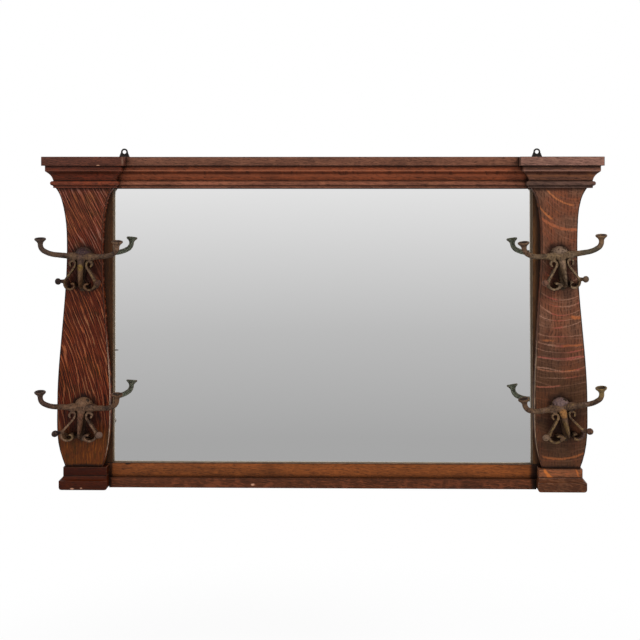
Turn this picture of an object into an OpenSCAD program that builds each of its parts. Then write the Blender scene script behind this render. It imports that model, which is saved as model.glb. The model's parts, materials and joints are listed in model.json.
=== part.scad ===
// Oak hall mirror with four cast double hooks, for hanging on a wall.
// Origin: centre of the mirror on the wall plane. +X right, +Z up, the front faces -Y.
// Depths are measured forward from the wall, so a depth of 20 lies at Y = -20.

/* [Mirror] */
// Width of mirror seen inside the frame
sight_w = 896; // [600:2:1200]
// Height of mirror seen inside the frame
sight_h = 586; // [480:2:900]
// How far the mirror plate reaches behind the frame on each side
glass_lap = 10; // [6:0.5:14]
// Clearance round the mirror plate in its rabbet
glass_gap = 2; // [0.5:0.5:3]
// Thickness of the mirror plate
glass_t = 5; // [3:0.5:8]
// Thickness of the backing boards
backing_t = 9; // [6:0.5:14]

/* [Frame] */
// Thickness of wood left in front of the mirror plate
lip_t = 8; // [5:0.5:14]
// Width of each stile
stile_w = 87; // [76:1:100]
// Height of the bottom rail
bottom_rail_h = 51; // [44:1:80]
// Diameter of the joint dowels
dowel_d = 10; // [6:0.5:12]
// Depth that each dowel reaches into either piece
dowel_reach = 22; // [12:1:30]

/* [Posts] */
// Distance from the mirror's sight edge to the middle of a post
post_inset = 55; // [46:0.5:70]
// Thickness of the posts
post_t = 22; // [16:1:35]
// Width of a post under the capital
post_top_w = 118; // [100:1:140]
// Width of a post at the foot of its top flare
post_shoulder_w = 94; // [80:1:100]
// Width of a post at its neck
post_neck_w = 75; // [60:1:90]
// Width of a post at its widest, low down
post_belly_w = 115; // [95:1:140]
// Width of a post where it stands on its plinth
post_foot_w = 83; // [60:1:88]
// Height of the top flare
post_flare_h = 25; // [15:1:40]
// Distance of the neck below the capital
post_neck_drop = 130; // [90:1:160]
// Height of the widest place above the plinth
post_belly_rise = 134; // [70:1:150]

/* [Cornice] */
// Thickness of the cap boards
cap_t = 19; // [12:0.5:30]
// How far the cap boards stand out from the faces below
cap_out = 28.5; // [24:0.5:40]
// Height of the crown moulding
crown_h = 31; // [28:0.5:45]
// Height of the flat fillet at the top of the crown
crown_fillet_h = 11; // [6:0.5:13]
// How far that fillet stands out
crown_fillet_out = 22; // [20:0.5:23.5]
// Height of the strip that carries the bead
bead_strip_h = 16; // [14:0.5:24]
// Height of the half-round bead
bead_h = 9; // [6:0.5:10]
// How far the bead stands out
bead_out = 13.2; // [11:0.1:16]
// How far the cove's foot and the bead strip's flat edges stand out
strip_out = 7.8; // [6:0.1:9.5]
// Height of frame seen between the mirror and the bead strip
crown_reveal = 2; // [0:0.5:10]

/* [Plinths and base] */
// Width of the upper plinth blocks
plinth_w = 92; // [90:1:110]
// How far the upper plinth blocks stand out from the frame's face
plinth_out = 27; // [24:0.5:45]
// Height of the upper plinth blocks
plinth_block_h = 19; // [12:0.5:40]
// Height of the plinth bases
plinth_base_h = 28; // [22:0.5:40]
// Height of the curved shoulder at the top of each plinth base
plinth_shoulder_h = 9; // [4:0.5:12]
// How far a plinth base stands out from its block, in front and on the outside
plinth_toe = 8; // [4:0.5:12]
// How far a plinth base stands out from its block on the mirror's side
plinth_inner_toe = 2.5; // [1:0.5:6]
// Height of the strip along the foot of the bottom rail
base_strip_h = 21; // [12:0.5:30]
// Thickness of that strip
base_strip_t = 10; // [6:0.5:18]

/* [Hooks] */
// Distance of the upper hooks' centres below the capitals
upper_hook_drop = 142; // [110:1:180]
// Height of the lower hooks' centres above the plinths
lower_hook_rise = 130; // [100:1:170]
// Diameter of the domed rosette
dome_d = 40; // [36:0.5:44]
// How far the rosette's dome stands out
dome_out = 23; // [20:0.5:26]
// Turn of the arms forward from the wall
arm_turn = 30; // [20:1:38]
// Rise of an arm's straight part, in degrees
arm_rise = 6; // [0:1:10]
// Length of the straight part of an arm
arm_len = 59; // [52:0.5:70]
// Diameter of an arm at its root
arm_root_d = 12.4; // [11:0.2:14]
// Diameter of an arm at its bend
arm_d = 10.4; // [8:0.2:10.6]
// Radius of the wide sweep that begins an arm's bend
arm_sweep_r = 60; // [45:1:80]
// Angle of that sweep
arm_sweep = 24; // [12:1:30]
// Radius of the close bend under the trumpet
arm_bend_r = 17; // [14:0.5:24]
// Angle of that bend
arm_bend = 50; // [45:1:62]
// Length of the trumpet at an arm's tip
trumpet_len = 15; // [12:0.5:22]
// Diameter of the trumpet's rim
trumpet_d = 24; // [20:0.5:28]
// Width of the central tongue at its top
tongue_w = 20; // [16:0.5:22]
// Length of the tongue below the rosette's centre
tongue_len = 68; // [66:0.5:71]
// Thickness of the scrolled ribbons
ribbon_t = 4.4; // [3.5:0.1:5]
// How far the ribbons stand out from the post
ribbon_out = 30; // [24:0.5:34]
// Diameter of the ball finials
ball_d = 13.6; // [11:0.2:14]
// How far the balls' centres stand out from the post
ball_out = 46; // [42:0.5:54]
// Thread diameter of the hook screws
hook_screw_d = 4; // [3:0.5:4.5]
// Length of a hook screw's thread in the post
hook_screw_len = 11; // [7:0.5:12]

/* [Hangers] */
// Distance of the left hanging eye from the middle of its post, towards the mirror
left_hanger_inset = 76; // [30:1:120]
// Distance of the right hanging eye from the middle of its post, towards the mirror
right_hanger_inset = 43; // [30:1:120]
// Diameter of the hole in a hanging eye
eye_hole_d = 8; // [5:0.5:10]
// Width of metal round that hole
eye_rim = 3.4; // [2.5:0.1:5]
// Height of the eye's centre above the cap boards
eye_rise = 11.5; // [10:0.5:20]
// Width of a hanger plate
hanger_w = 22; // [18:0.5:30]
// Thickness of a hanger plate
hanger_t = 2; // [1.5:0.1:3]

/* [Hidden] */
$fn = 64;

// Colours, as the finish shows them.
OAK = [0.38, 0.22, 0.15];
OAK_LIGHT = [0.45, 0.28, 0.18];
OAK_DARK = [0.24, 0.14, 0.09];
PINE = [0.55, 0.42, 0.28];
BRONZE = [0.36, 0.29, 0.21];
STEEL = [0.17, 0.17, 0.17];
SILVERED = [0.75, 0.77, 0.78];

// Heights, from the mirror's centre.
crown_bottom = sight_h / 2 + crown_reveal;
cap_bottom = crown_bottom + bead_strip_h + crown_h;
cap_top = cap_bottom + cap_t;
base_bottom = -sight_h / 2 - bottom_rail_h;
plinth_top = base_bottom + plinth_base_h + plinth_block_h;

// Depths, from the wall.
frame_t = backing_t + glass_t + lip_t;
post_front = frame_t + post_t;

// Places along the width.
post_x = sight_w / 2 + post_inset;
frame_half_w = sight_w / 2 + stile_w;
plinth_inner_x = post_x - plinth_w / 2;
plinth_outer_x = post_x + plinth_w / 2;

// The mirror plate and the pocket that it lies in.
glass_w = sight_w + 2 * glass_lap;
glass_h = sight_h + 2 * glass_lap;
pocket_w = glass_w + 2 * glass_gap;
pocket_h = glass_h + 2 * glass_gap;

// Clearances and small parts.
glue_gap = 0.1;
cut = 1;
dowel_inset = 12;
board_gap = 1.5;
brad_d = 1.4;
brad_len = 20;
brad_turn = 25;
brad_edge = 9;
brad_set = 1.4;
post_screw_d = 4.5;
post_screw_head_d = 9;
post_screw_head_h = 5;
screw_tip_gap = 1.5;
post_screw_reach = post_t - hook_screw_len - screw_tip_gap;
hanger_screw_d = 3.5;
hanger_screw_len = 13;
hanger_drop = 50;
// How deep a countersunk head lies, and how far its recess starts above the face.
head_sink = 0.05;
skin = 0.01;

// Half the post's width at its stations, from top to foot: height, half width, slope there.
flare_slope = 0.8;
shoulder_slope = 0.26;
foot_slope = 0.42;
POST_STATIONS = [
    [crown_bottom, post_top_w / 2, flare_slope],
    [crown_bottom - post_flare_h, post_shoulder_w / 2, shoulder_slope],
    [crown_bottom - post_neck_drop, post_neck_w / 2, 0],
    [plinth_top + post_belly_rise, post_belly_w / 2, 0],
    [plinth_top, post_foot_w / 2, foot_slope]
];
STATION_STEPS = [4, 6, 14, 8];

// Point on a smooth curve from station a to station b, at share t of the way.
function between(a, b, t) = [
    a[0] + (b[0] - a[0]) * t,
    a[1] * (2 * pow(t, 3) - 3 * t * t + 1)
        + a[2] * (b[0] - a[0]) * (pow(t, 3) - 2 * t * t + t)
        + b[1] * (3 * t * t - 2 * pow(t, 3))
        + b[2] * (b[0] - a[0]) * (pow(t, 3) - t * t)
];

// Points along a post's side below the capital: height, half width.
function post_side() = concat(
    [for (i = [0 : len(STATION_STEPS) - 1], j = [0 : STATION_STEPS[i] - 1])
        between(POST_STATIONS[i], POST_STATIONS[i + 1], j / STATION_STEPS[i])],
    [[plinth_top, post_foot_w / 2]]
);

// Points on a circle from angle a0 to angle a1.
function arc(cx, cy, r, a0, a1, n) =
    [for (i = [0 : n]) [cx + r * cos(a0 + (a1 - a0) * i / n), cy + r * sin(a0 + (a1 - a0) * i / n)]];

function reversed(list) = [for (i = [len(list) - 1 : -1 : 0]) list[i]];

// A box between two corners, given as x, depth and height.
module block(low, high) {
    translate([low[0], -high[1], low[2]])
        cube([high[0] - low[0], high[1] - low[1], high[2] - low[2]]);
}

// An outline drawn in x and z, raised between two depths.
module raised(from, to) {
    translate([0, -from, 0])
        rotate([90, 0, 0])
            linear_extrude(to - from) children();
}

// ---------------------------------------------------------------- frame

// The pocket at the back of the frame for the mirror plate and its backing.
module glass_pocket() {
    block([-pocket_w / 2, -cut, -pocket_h / 2], [pocket_w / 2, backing_t + glass_t, pocket_h / 2]);
}

// Dowels of one corner of the frame, at side +1 (right) or -1 and end +1 (top) or -1.
module corner_dowels(side, end, gap = 0) {
    rabbet_w = glass_lap + glass_gap;
    xs = [sight_w / 2 + rabbet_w + dowel_inset, frame_half_w - dowel_inset];
    for (x = xs)
        translate([side * x, -frame_t / 2, end * sight_h / 2 - dowel_reach - gap])
            cylinder(d = dowel_d + 2 * gap, h = 2 * (dowel_reach + gap));
}

module dowel_holes() {
    for (side = [-1, 1], end = [-1, 1]) corner_dowels(side, end, glue_gap);
}

module frame_dowels() {
    color(PINE)
        for (side = [-1, 1], end = [-1, 1]) corner_dowels(side, end);
}

module stile(side) {
    color(OAK_DARK)
        difference() {
            block([min(side * sight_w / 2, side * frame_half_w), 0, -sight_h / 2],
                  [max(side * sight_w / 2, side * frame_half_w), frame_t, sight_h / 2]);
            glass_pocket();
            dowel_holes();
            post_screw_holes(side);
            brad_holes();
        }
}

module top_rail() {
    color(OAK)
        difference() {
            block([-frame_half_w, 0, sight_h / 2], [frame_half_w, frame_t, cap_bottom]);
            glass_pocket();
            dowel_holes();
            hanger_recesses();
            for (side = [-1, 1]) post_screw_holes(side);
            brad_holes();
            hanger_screw_holes();
        }
}

module bottom_rail() {
    color(OAK)
        difference() {
            block([-frame_half_w, 0, base_bottom], [frame_half_w, frame_t, -sight_h / 2]);
            glass_pocket();
            dowel_holes();
            brad_holes();
        }
}

// ---------------------------------------------------------------- mirror and its backing

module mirror_plate() {
    color(SILVERED)
        block([-glass_w / 2, backing_t, -glass_h / 2],
              [glass_w / 2, backing_t + glass_t, glass_h / 2]);
}

// One of the three backing boards, counted from the bottom.
module backing_board(i) {
    board_h = (glass_h - 2 * board_gap) / 3;
    low = -glass_h / 2 + i * (board_h + board_gap);
    color(PINE)
        difference() {
            block([-glass_w / 2, 0, low], [glass_w / 2, backing_t, low + board_h]);
            brad_holes();
        }
}

// A brad leans from the back of a board's edge forward into the frame, at angle out round the edge.
module brad(out, gap) {
    back = gap > 0 ? brad_set / sin(brad_turn) + brad_d : 0;
    rotate([0, -out, 0])
        rotate([0, 0, -brad_turn])
            rotate([0, 90, 0])
                translate([0, 0, -back])
                    cylinder(d = brad_d + 2 * gap, h = brad_len + back + gap);
}

// Brads at both ends of each board and along the top and bottom edges.
module brads(gap = 0) {
    for (z = [-glass_h / 3, 0, glass_h / 3], side = [-1, 1])
        translate([side * (glass_w / 2 - brad_edge), -brad_set, z])
            brad(side > 0 ? 0 : 180, gap);
    for (x = [-glass_w / 4, glass_w / 4], end = [-1, 1])
        translate([x, -brad_set, end * (glass_h / 2 - brad_edge)])
            brad(end * 90, gap);
}

module brad_holes() {
    brads(glue_gap / 2);
}

module backing_brads() {
    color(STEEL) brads();
}

// ---------------------------------------------------------------- posts

// Heights of the screws that hold a post from behind: top rail, upper, middle and lower stile.
rail_screw_clear = 12;
stile_screw_clear = 16;
top_screw_z = sight_h / 2 + dowel_reach + rail_screw_clear;
upper_screw_z = sight_h / 2 - dowel_reach - stile_screw_clear;
lower_screw_z = -upper_screw_z;
POST_SCREW_ZS = [top_screw_z, upper_screw_z, 0, lower_screw_z];

module post_screw_set(side, gap = 0) {
    for (z = POST_SCREW_ZS)
        translate([side * post_x, gap > 0 ? cut : -glue_gap, z])
            rotate([90, 0, 0]) {
                cylinder(d = post_screw_d + 2 * gap,
                         h = frame_t + post_screw_reach + (gap > 0 ? cut + gap : -glue_gap));
                cylinder(d = post_screw_head_d + 2 * gap,
                         h = post_screw_head_h + (gap > 0 ? cut : -glue_gap));
            }
}

module post_screw_holes(side) {
    post_screw_set(side, glue_gap);
}

module post_screws(side) {
    color(STEEL) post_screw_set(side);
}

module post(side) {
    flank = concat([[cap_bottom, post_top_w / 2]], post_side());
    outline = concat([for (p = flank) [p[1], p[0]]], [for (p = reversed(flank)) [-p[1], p[0]]]);
    color(OAK)
        difference() {
            translate([side * post_x, 0, 0])
                raised(frame_t, post_front) polygon(outline);
            post_screw_holes(side);
            for (z = [upper_hook_z, lower_hook_z])
                at_hook(side, z) screw_shanks(glue_gap);
        }
}

// ---------------------------------------------------------------- cornice

capital_half_w = post_top_w / 2;
fillet_ease_in = 1;
fillet_ease_drop = 1.2;
cove_top_drop = 3;
cove_top_in = 3;
cove_sag = 2.2;
COVE_STEPS = 8;
BEAD_STEPS = 12;
quirk_h = 1.5;
bead_foot_out = 9.5;
strip_step = 1.7;

// Outline of the crown moulding: distance out from the face behind it, height.
function cove_point(t) = let (
        top = [crown_fillet_out - cove_top_in, cap_bottom - crown_fillet_h - cove_top_drop],
        foot = [strip_out, cap_bottom - crown_h],
        run = foot - top,
        side = [run[1], -run[0]] / norm(run)
    ) top + run * t + side * cove_sag * 4 * t * (1 - t);

function crown_outline() = concat(
    [[0, cap_bottom], [crown_fillet_out, cap_bottom],
     [crown_fillet_out, cap_bottom - crown_fillet_h],
     [crown_fillet_out - fillet_ease_in, cap_bottom - crown_fillet_h - fillet_ease_drop]],
    [for (i = [0 : COVE_STEPS]) cove_point(i / COVE_STEPS)],
    [[0, cap_bottom - crown_h]]
);

// Outline of the strip below the crown, with its half-round bead.
function bead_outline() = let (
        strip_top = crown_bottom + bead_strip_h,
        bead_top = strip_top - quirk_h,
        middle = bead_top - bead_h / 2
    ) concat(
    [[0, strip_top], [strip_out, strip_top], [strip_out, bead_top], [bead_foot_out, bead_top]],
    [for (i = [1 : BEAD_STEPS - 1]) let (a = 90 - 180 * i / BEAD_STEPS)
        [bead_foot_out + (bead_out - bead_foot_out) * cos(a), middle + bead_h / 2 * sin(a)]],
    [[bead_foot_out, bead_top - bead_h], [strip_out, bead_top - bead_h - strip_step],
     [strip_out, crown_bottom], [0, crown_bottom]]
);

// A moulding's outline drawn out along X, standing forward from the face at the given depth.
module along_x(outline, depth, x0, x1) {
    translate([x0, -depth, 0])
        rotate([90, 0, 90])
            linear_extrude(x1 - x0) polygon([for (p = outline) [-p[0], p[1]]]);
}

// A moulding's outline drawn out along the depth, standing out to +X from the face at x.
module along_depth(outline, x, d0, d1) {
    translate([x, -d0, 0])
        rotate([90, 0, 0])
            linear_extrude(d1 - d0) polygon(outline);
}

// A plan of mitred ends, given as points of x and depth, raised through the cornice.
module plan(points) {
    translate([0, 0, crown_bottom - cut])
        linear_extrude(cap_bottom - crown_bottom + 2 * cut)
            polygon([for (p = points) [p[0], -p[1]]]);
}

// How far a mitre's plan runs out, which is past any moulding.
reach = crown_fillet_out + bead_out;
outer_face = post_x + capital_half_w;
inner_face = post_x - capital_half_w;

// Moulding across the front of the right capital.
module front_run(outline) {
    intersection() {
        along_x(outline, post_front, inner_face - reach, outer_face + reach);
        plan([[inner_face, post_front], [outer_face, post_front],
              [outer_face + reach, post_front + reach], [inner_face - reach, post_front + reach]]);
    }
}

// Moulding along the right capital's outer side, back to the wall.
module outer_run(outline) {
    intersection() {
        along_depth(outline, outer_face, 0, post_front + reach);
        plan([[outer_face, 0], [outer_face, post_front],
              [outer_face + reach, post_front + reach], [outer_face + reach, 0]]);
    }
}

// Moulding along the right capital's inner side, back to the run over the mirror.
module inner_run(outline) {
    intersection() {
        mirror([1, 0, 0]) along_depth(outline, -inner_face, frame_t, post_front + reach);
        plan([[inner_face, frame_t], [inner_face, post_front],
              [inner_face - reach, post_front + reach], [inner_face - reach, frame_t + reach]]);
    }
}

// Moulding over the mirror, between the capitals.
module center_run(outline) {
    intersection() {
        along_x(outline, frame_t, -inner_face, inner_face);
        plan([[-inner_face, frame_t], [inner_face, frame_t],
              [inner_face - reach, frame_t + reach], [-inner_face + reach, frame_t + reach]]);
    }
}

// Mirrors its children to the left where side is -1.
module sided(side) {
    mirror([side < 0 ? 1 : 0, 0, 0]) children();
}

module crown_front(side) {
    color(OAK) sided(side) front_run(crown_outline());
}

module crown_outer_return(side) {
    color(OAK) sided(side) outer_run(crown_outline());
}

module crown_inner_return(side) {
    color(OAK) sided(side) inner_run(crown_outline());
}

module center_crown() {
    color(OAK_LIGHT) center_run(crown_outline());
}

module bead_front(side) {
    color(OAK) sided(side) front_run(bead_outline());
}

module bead_outer_return(side) {
    color(OAK) sided(side) outer_run(bead_outline());
}

module bead_inner_return(side) {
    color(OAK) sided(side) inner_run(bead_outline());
}

module center_bead() {
    color(OAK_LIGHT) center_run(bead_outline());
}

// Block that fills the corner behind a capital, beside the top rail.
module capital_block(side) {
    color(PINE)
        sided(side)
            block([frame_half_w, 0, crown_bottom], [outer_face, frame_t, cap_bottom]);
}

module capital_cap(side) {
    color(OAK)
        difference() {
            sided(side)
                block([inner_face - cap_out, 0, cap_bottom],
                      [outer_face + cap_out, post_front + cap_out, cap_top]);
            hanger_recesses();
            hanger_screw_holes();
        }
}

module center_cap_board() {
    color(OAK_LIGHT)
        difference() {
            block([-inner_face + cap_out, 0, cap_bottom],
                  [inner_face - cap_out, frame_t + cap_out, cap_top]);
            hanger_recesses();
            hanger_screw_holes();
        }
}

// ---------------------------------------------------------------- plinths and base

// The corner of the frame that a plinth is rebated over.
module frame_corner() {
    block([0, -cut, base_bottom - cut], [frame_half_w, frame_t, plinth_top + cut]);
}

module plinth_block(side) {
    color(OAK)
        sided(side)
            difference() {
                block([plinth_inner_x, 0, base_bottom + plinth_base_h],
                      [plinth_outer_x, frame_t + plinth_out, plinth_top]);
                frame_corner();
            }
}

// How far the shoulder of a plinth base has come out at share t of its height, from the top:
// a mix of a round hollow and a plain slope.
hollow_share = 0.75;
SHOULDER_STEPS = 5;
function shoulder_out(t) = 1 - hollow_share * sqrt(1 - t * t) - (1 - hollow_share) * (1 - t);

module plinth_base(side) {
    top = base_bottom + plinth_base_h;
    step_h = plinth_shoulder_h / SHOULDER_STEPS;
    color(OAK_DARK)
        sided(side)
            difference() {
                intersection() {
                    // Seen from the front
                    raised(0, frame_t + plinth_out + plinth_toe)
                        polygon(concat(
                            [for (i = [0 : SHOULDER_STEPS]) let (t = i / SHOULDER_STEPS)
                                [plinth_outer_x + plinth_toe * shoulder_out(t), top - i * step_h]],
                            [[plinth_outer_x + plinth_toe, base_bottom],
                             [plinth_inner_x - plinth_inner_toe, base_bottom]],
                            [for (i = [SHOULDER_STEPS : -1 : 0]) let (t = i / SHOULDER_STEPS)
                                [plinth_inner_x - plinth_inner_toe * shoulder_out(t), top - i * step_h]]
                        ));
                    // Seen from the side
                    along_x(
                        concat(
                            [[-frame_t - plinth_out, base_bottom], [-frame_t - plinth_out, top]],
                            [for (i = [0 : SHOULDER_STEPS]) let (t = i / SHOULDER_STEPS)
                                [plinth_toe * shoulder_out(t), top - i * step_h]],
                            [[plinth_toe, base_bottom]]
                        ),
                        frame_t + plinth_out, 0, plinth_outer_x + plinth_toe);
                }
                frame_corner();
            }
}

module base_strip() {
    half_w = plinth_inner_x - plinth_inner_toe;
    color(OAK)
        block([-half_w, frame_t, base_bottom],
              [half_w, frame_t + base_strip_t, base_bottom + base_strip_h]);
}

// ---------------------------------------------------------------- hooks

upper_hook_z = crown_bottom - upper_hook_drop;
lower_hook_z = plinth_top + lower_hook_rise;

// Each hook was screwed on by hand, a little off its mark: turn to the right, place to the right, up.
UPPER_LEFT_SET = [2, -3, -0.5];
LOWER_LEFT_SET = [1.5, -3, 1.5];
UPPER_RIGHT_SET = [-5.5, -2.5, 3];
LOWER_RIGHT_SET = [-8.5, -0.5, 4.5];

function hook_set(side, z) =
    side < 0 ? (z == upper_hook_z ? UPPER_LEFT_SET : LOWER_LEFT_SET)
             : (z == upper_hook_z ? UPPER_RIGHT_SET : LOWER_RIGHT_SET);

// Puts a hook's own space in its place. There x runs right, y up and z out from the post.
module at_hook(side, z) {
    set = hook_set(side, z);
    translate([side * post_x + set[1], -post_front, z + set[2]])
        rotate([0, set[0], 0])
            rotate([90, 0, 0]) children();
}

hook_back = 3;
arm_axis_out = 13;
arm_root_drop = 4;
leaf_start = 7;
leaf_len = 23;
leaf_swell = 2.2;
leaf_sink = 0.6;
LEAF_STEPS = 8;
FLARE_STEPS = 7;
flare_power = 1.6;
trumpet_stem = 2;
rim_h = 1.6;
rim_ease = 0.8;
rim_wall = 2;
cup_depth = 2.5;
joint_lap = 0.8;
joint_step = 0.15;
prong_root_r = 3.6;
prong_tip_r = 2.6;
prong_root_in = 1;
prong_root_out = 22;
ball_x = 44;
ball_y = -54;
screw_hole_gap = 0.2;
ear_d = 12;
ear_t = 3.2;
ear_drop = 3;
screw_head_h = 2.4;
screw_head_d = 2 * hook_screw_d;
screw_head_taper = 0.7;
screw_slot = 1;
dome_screw = [9.5, 11];
dome_screw_seat = 12;
ear_screw = [0, -tongue_len - ear_drop];

// A rod between two points, tapering from radius r1 to radius r2.
module rod(p, q, r1, r2) {
    run = q - p;
    translate(p)
        rotate([0, acos(run[2] / norm(run)), atan2(run[1], run[0])])
            cylinder(r1 = r1, r2 = r2, h = norm(run));
}

module dome() {
    r = dome_d / 2;
    rise = dome_out - hook_back;
    rotate_extrude()
        polygon(concat(
            [[0, 0], [r, 0]],
            [for (i = [0 : 9]) [r * cos(10 * i), hook_back + rise * sin(10 * i)]],
            [[0, dome_out]]
        ));
}

// Outline of the trumpet at an arm's tip: radius, distance along it.
function trumpet_outline() = let (
        r0 = arm_d / 2,
        r1 = trumpet_d / 2,
        flare_h = trumpet_len - trumpet_stem - rim_h
    ) concat(
    [[0, -joint_lap], [r0 + joint_step, -joint_lap]],
    [for (i = [0 : FLARE_STEPS]) let (t = i / FLARE_STEPS)
        [r0 + joint_step + (r1 - r0 - joint_step) * pow(t, flare_power), trumpet_stem + flare_h * t]],
    [[r1, trumpet_len - rim_h / 2], [r1 - rim_ease, trumpet_len], [r1 - rim_wall, trumpet_len],
     [r0, trumpet_len - cup_depth], [0, trumpet_len - cup_depth]]
);

// Where an arc of radius r ends that leaves point p at angle a0 and turns to angle a1.
function arc_end(p, r, a0, a1) = p + r * [sin(a1) - sin(a0), cos(a0) - cos(a1)];

// A bent round bar along that arc, lapped a little into the piece that follows.
module bent_bar(p, r, a0, a1, d) {
    translate([p[0] - r * sin(a0), p[1] + r * cos(a0), 0])
        rotate([0, 0, a0 - 90])
            rotate_extrude(angle = a1 - a0 + joint_lap / r * 180 / PI)
                translate([r, 0]) circle(d = d);
}

// The arm's path in its own plane: x runs along the arm, y up.
arm_root = [0, -arm_root_drop];
sweep_start = arm_root + arm_len * [cos(arm_rise), sin(arm_rise)];
sweep_end_angle = arm_rise + arm_sweep;
bend_start = arc_end(sweep_start, arm_sweep_r, arm_rise, sweep_end_angle);
tip_angle = sweep_end_angle + arm_bend;
bend_end = arc_end(bend_start, arm_bend_r, sweep_end_angle, tip_angle);

// Leaf-like swelling at an arm's root, along +x.
module arm_leaf() {
    rotate([0, 90, 0])
        rotate_extrude()
            polygon(concat(
                [[0, leaf_start]],
                [for (i = [0 : LEAF_STEPS])
                    [arm_root_d / 2 - leaf_sink + leaf_swell * sin(180 * i / LEAF_STEPS),
                     leaf_start + leaf_len * i / LEAF_STEPS]],
                [[0, leaf_start + leaf_len]]
            ));
}

// One arm, running to +x and out from the post, bent up to its trumpet.
module arm() {
    translate([0, 0, arm_axis_out])
        rotate([0, -arm_turn, 0]) {
            translate(arm_root)
                rotate([0, 0, arm_rise]) {
                    rotate([0, 90, 0])
                        cylinder(d1 = arm_root_d, d2 = arm_d + 4 * joint_step, h = arm_len + joint_lap);
                    arm_leaf();
                }
            bent_bar(sweep_start, arm_sweep_r, arm_rise, sweep_end_angle, arm_d + 2 * joint_step);
            bent_bar(bend_start, arm_bend_r, sweep_end_angle, tip_angle, arm_d);
            translate(bend_end)
                rotate([0, 0, tip_angle])
                    rotate([0, 90, 0])
                        rotate_extrude() polygon(trumpet_outline());
        }
}

// Curls of the right ribbon, from the top: small top curl, waist, large lower curl, inner curl.
// Each has its centre, its radius, and the angles that it runs between.
TOP_CURL = [[15.5, -17.5], 5.5, -20, 180];
WAIST = [[24, -17.5], 14, 180, 219];
LOWER_CURL = [[21.5, -56], 13, 20, -135];
INNER_CURL = [[15.8, -61.7], 5, -135, -300];
CURL_STEP = 20;

// Middle line of the ribbon, with the way across it at each point.
function curl_line(c) = let (
        n = ceil(abs(c[3] - c[2]) / CURL_STEP),
        turn = sign(c[3] - c[2])
    ) [for (i = [0 : n]) let (a = c[2] + (c[3] - c[2]) * i / n)
        [c[0] + c[1] * [cos(a), sin(a)], turn * [cos(a), sin(a)]]];

RIBBON_LINE = concat(curl_line(TOP_CURL), curl_line(WAIST), curl_line(LOWER_CURL), curl_line(INNER_CURL));

// Half the ribbon's thickness at its point i: full along its run, slimmer at both tips.
ribbon_tip = 0.6;
tip_points = 4;
function half_ribbon(i) = let (
        from_tip = min(i, len(RIBBON_LINE) - 1 - i, tip_points) / tip_points
    ) ribbon_t / 2 * (ribbon_tip + (1 - ribbon_tip) * from_tip);

module ribbon() {
    sides = [for (turn = [1, -1])
        [for (i = [0 : len(RIBBON_LINE) - 1])
            RIBBON_LINE[i][0] + turn * RIBBON_LINE[i][1] * half_ribbon(i)]];
    translate([0, 0, hook_back])
        linear_extrude(ribbon_out - hook_back)
            polygon(concat(sides[0], reversed(sides[1])));
}

// Prong at the ribbon's corner, ending in a ball.
module ball_prong() {
    corner = curl_line(LOWER_CURL)[0][0];
    rod([corner[0] - prong_root_in, corner[1] - prong_root_in, prong_root_out],
        [ball_x, ball_y, ball_out],
        prong_root_r, prong_tip_r);
    translate([ball_x, ball_y, ball_out]) sphere(d = ball_d);
}

// The central tongue: wide and proud at the top, narrow and low at the foot.
tongue_foot_w = 5.6;
tongue_foot_y = -tongue_len - 2;
// Seen from the front: half its width and height.
TONGUE_HALF = [
    [tongue_w / 2, 2], [tongue_w / 2 - 0.4, -8], [tongue_w / 2 - 2, -22],
    [4.8, -45], [tongue_foot_w / 2, -tongue_len + 3], [tongue_foot_w / 2, tongue_foot_y]
];
// Seen from the side: height and how far it stands out.
TONGUE_SIDE = [
    [2, 0], [2, 24], [-8, 28], [-26, 27], [-50, 18],
    [-tongue_len + 3, 9], [tongue_foot_y, ear_t], [tongue_foot_y, 0]
];

module tongue() {
    intersection() {
        linear_extrude(ribbon_out)
            polygon(concat(TONGUE_HALF, [for (p = reversed(TONGUE_HALF)) [-p[0], p[1]]]));
        rotate([90, 0, 90])
            translate([0, 0, -tongue_w])
                linear_extrude(2 * tongue_w) polygon(TONGUE_SIDE);
    }
}

module ear() {
    translate([ear_screw[0], ear_screw[1], 0]) cylinder(d = ear_d, h = ear_t);
}

// Where the heads of a hook's two screws sit, in its own space.
HEAD_SEATS = [concat(ear_screw, ear_t), concat(dome_screw, dome_screw_seat)];

// Screw shanks from their tips in the post to their heads.
module screw_shanks(gap = 0) {
    for (p = HEAD_SEATS)
        translate([p[0], p[1], -hook_screw_len - gap])
            cylinder(d = hook_screw_d + 2 * gap, h = hook_screw_len + gap + p[2]);
}

module screw_heads() {
    for (p = HEAD_SEATS)
        translate(p)
            difference() {
                cylinder(d1 = screw_head_d, d2 = screw_head_d * screw_head_taper, h = screw_head_h);
                translate([-screw_head_d, -screw_slot / 2, screw_head_h - screw_slot])
                    cube([2 * screw_head_d, screw_slot, 2 * screw_slot]);
            }
}

module hook(side, z) {
    color(BRONZE)
        at_hook(side, z)
            difference() {
                union() {
                    dome();
                    tongue();
                    ear();
                    for (turn = [0, 1])
                        mirror([turn, 0, 0]) {
                            arm();
                            ribbon();
                            ball_prong();
                        }
                }
                screw_seats();
            }
}

// Holes through a hook for its screws, widened over their heads.
module screw_seats() {
    for (p = HEAD_SEATS) {
        translate([p[0], p[1], -cut])
            cylinder(d = hook_screw_d + 2 * screw_hole_gap, h = p[2] + 2 * cut);
        translate(p)
            cylinder(d = screw_head_d + 2 * screw_hole_gap, h = ribbon_out);
    }
}

module hook_screws(side, z) {
    color(STEEL)
        at_hook(side, z) {
            screw_shanks();
            screw_heads();
        }
}

// ---------------------------------------------------------------- hangers

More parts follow.
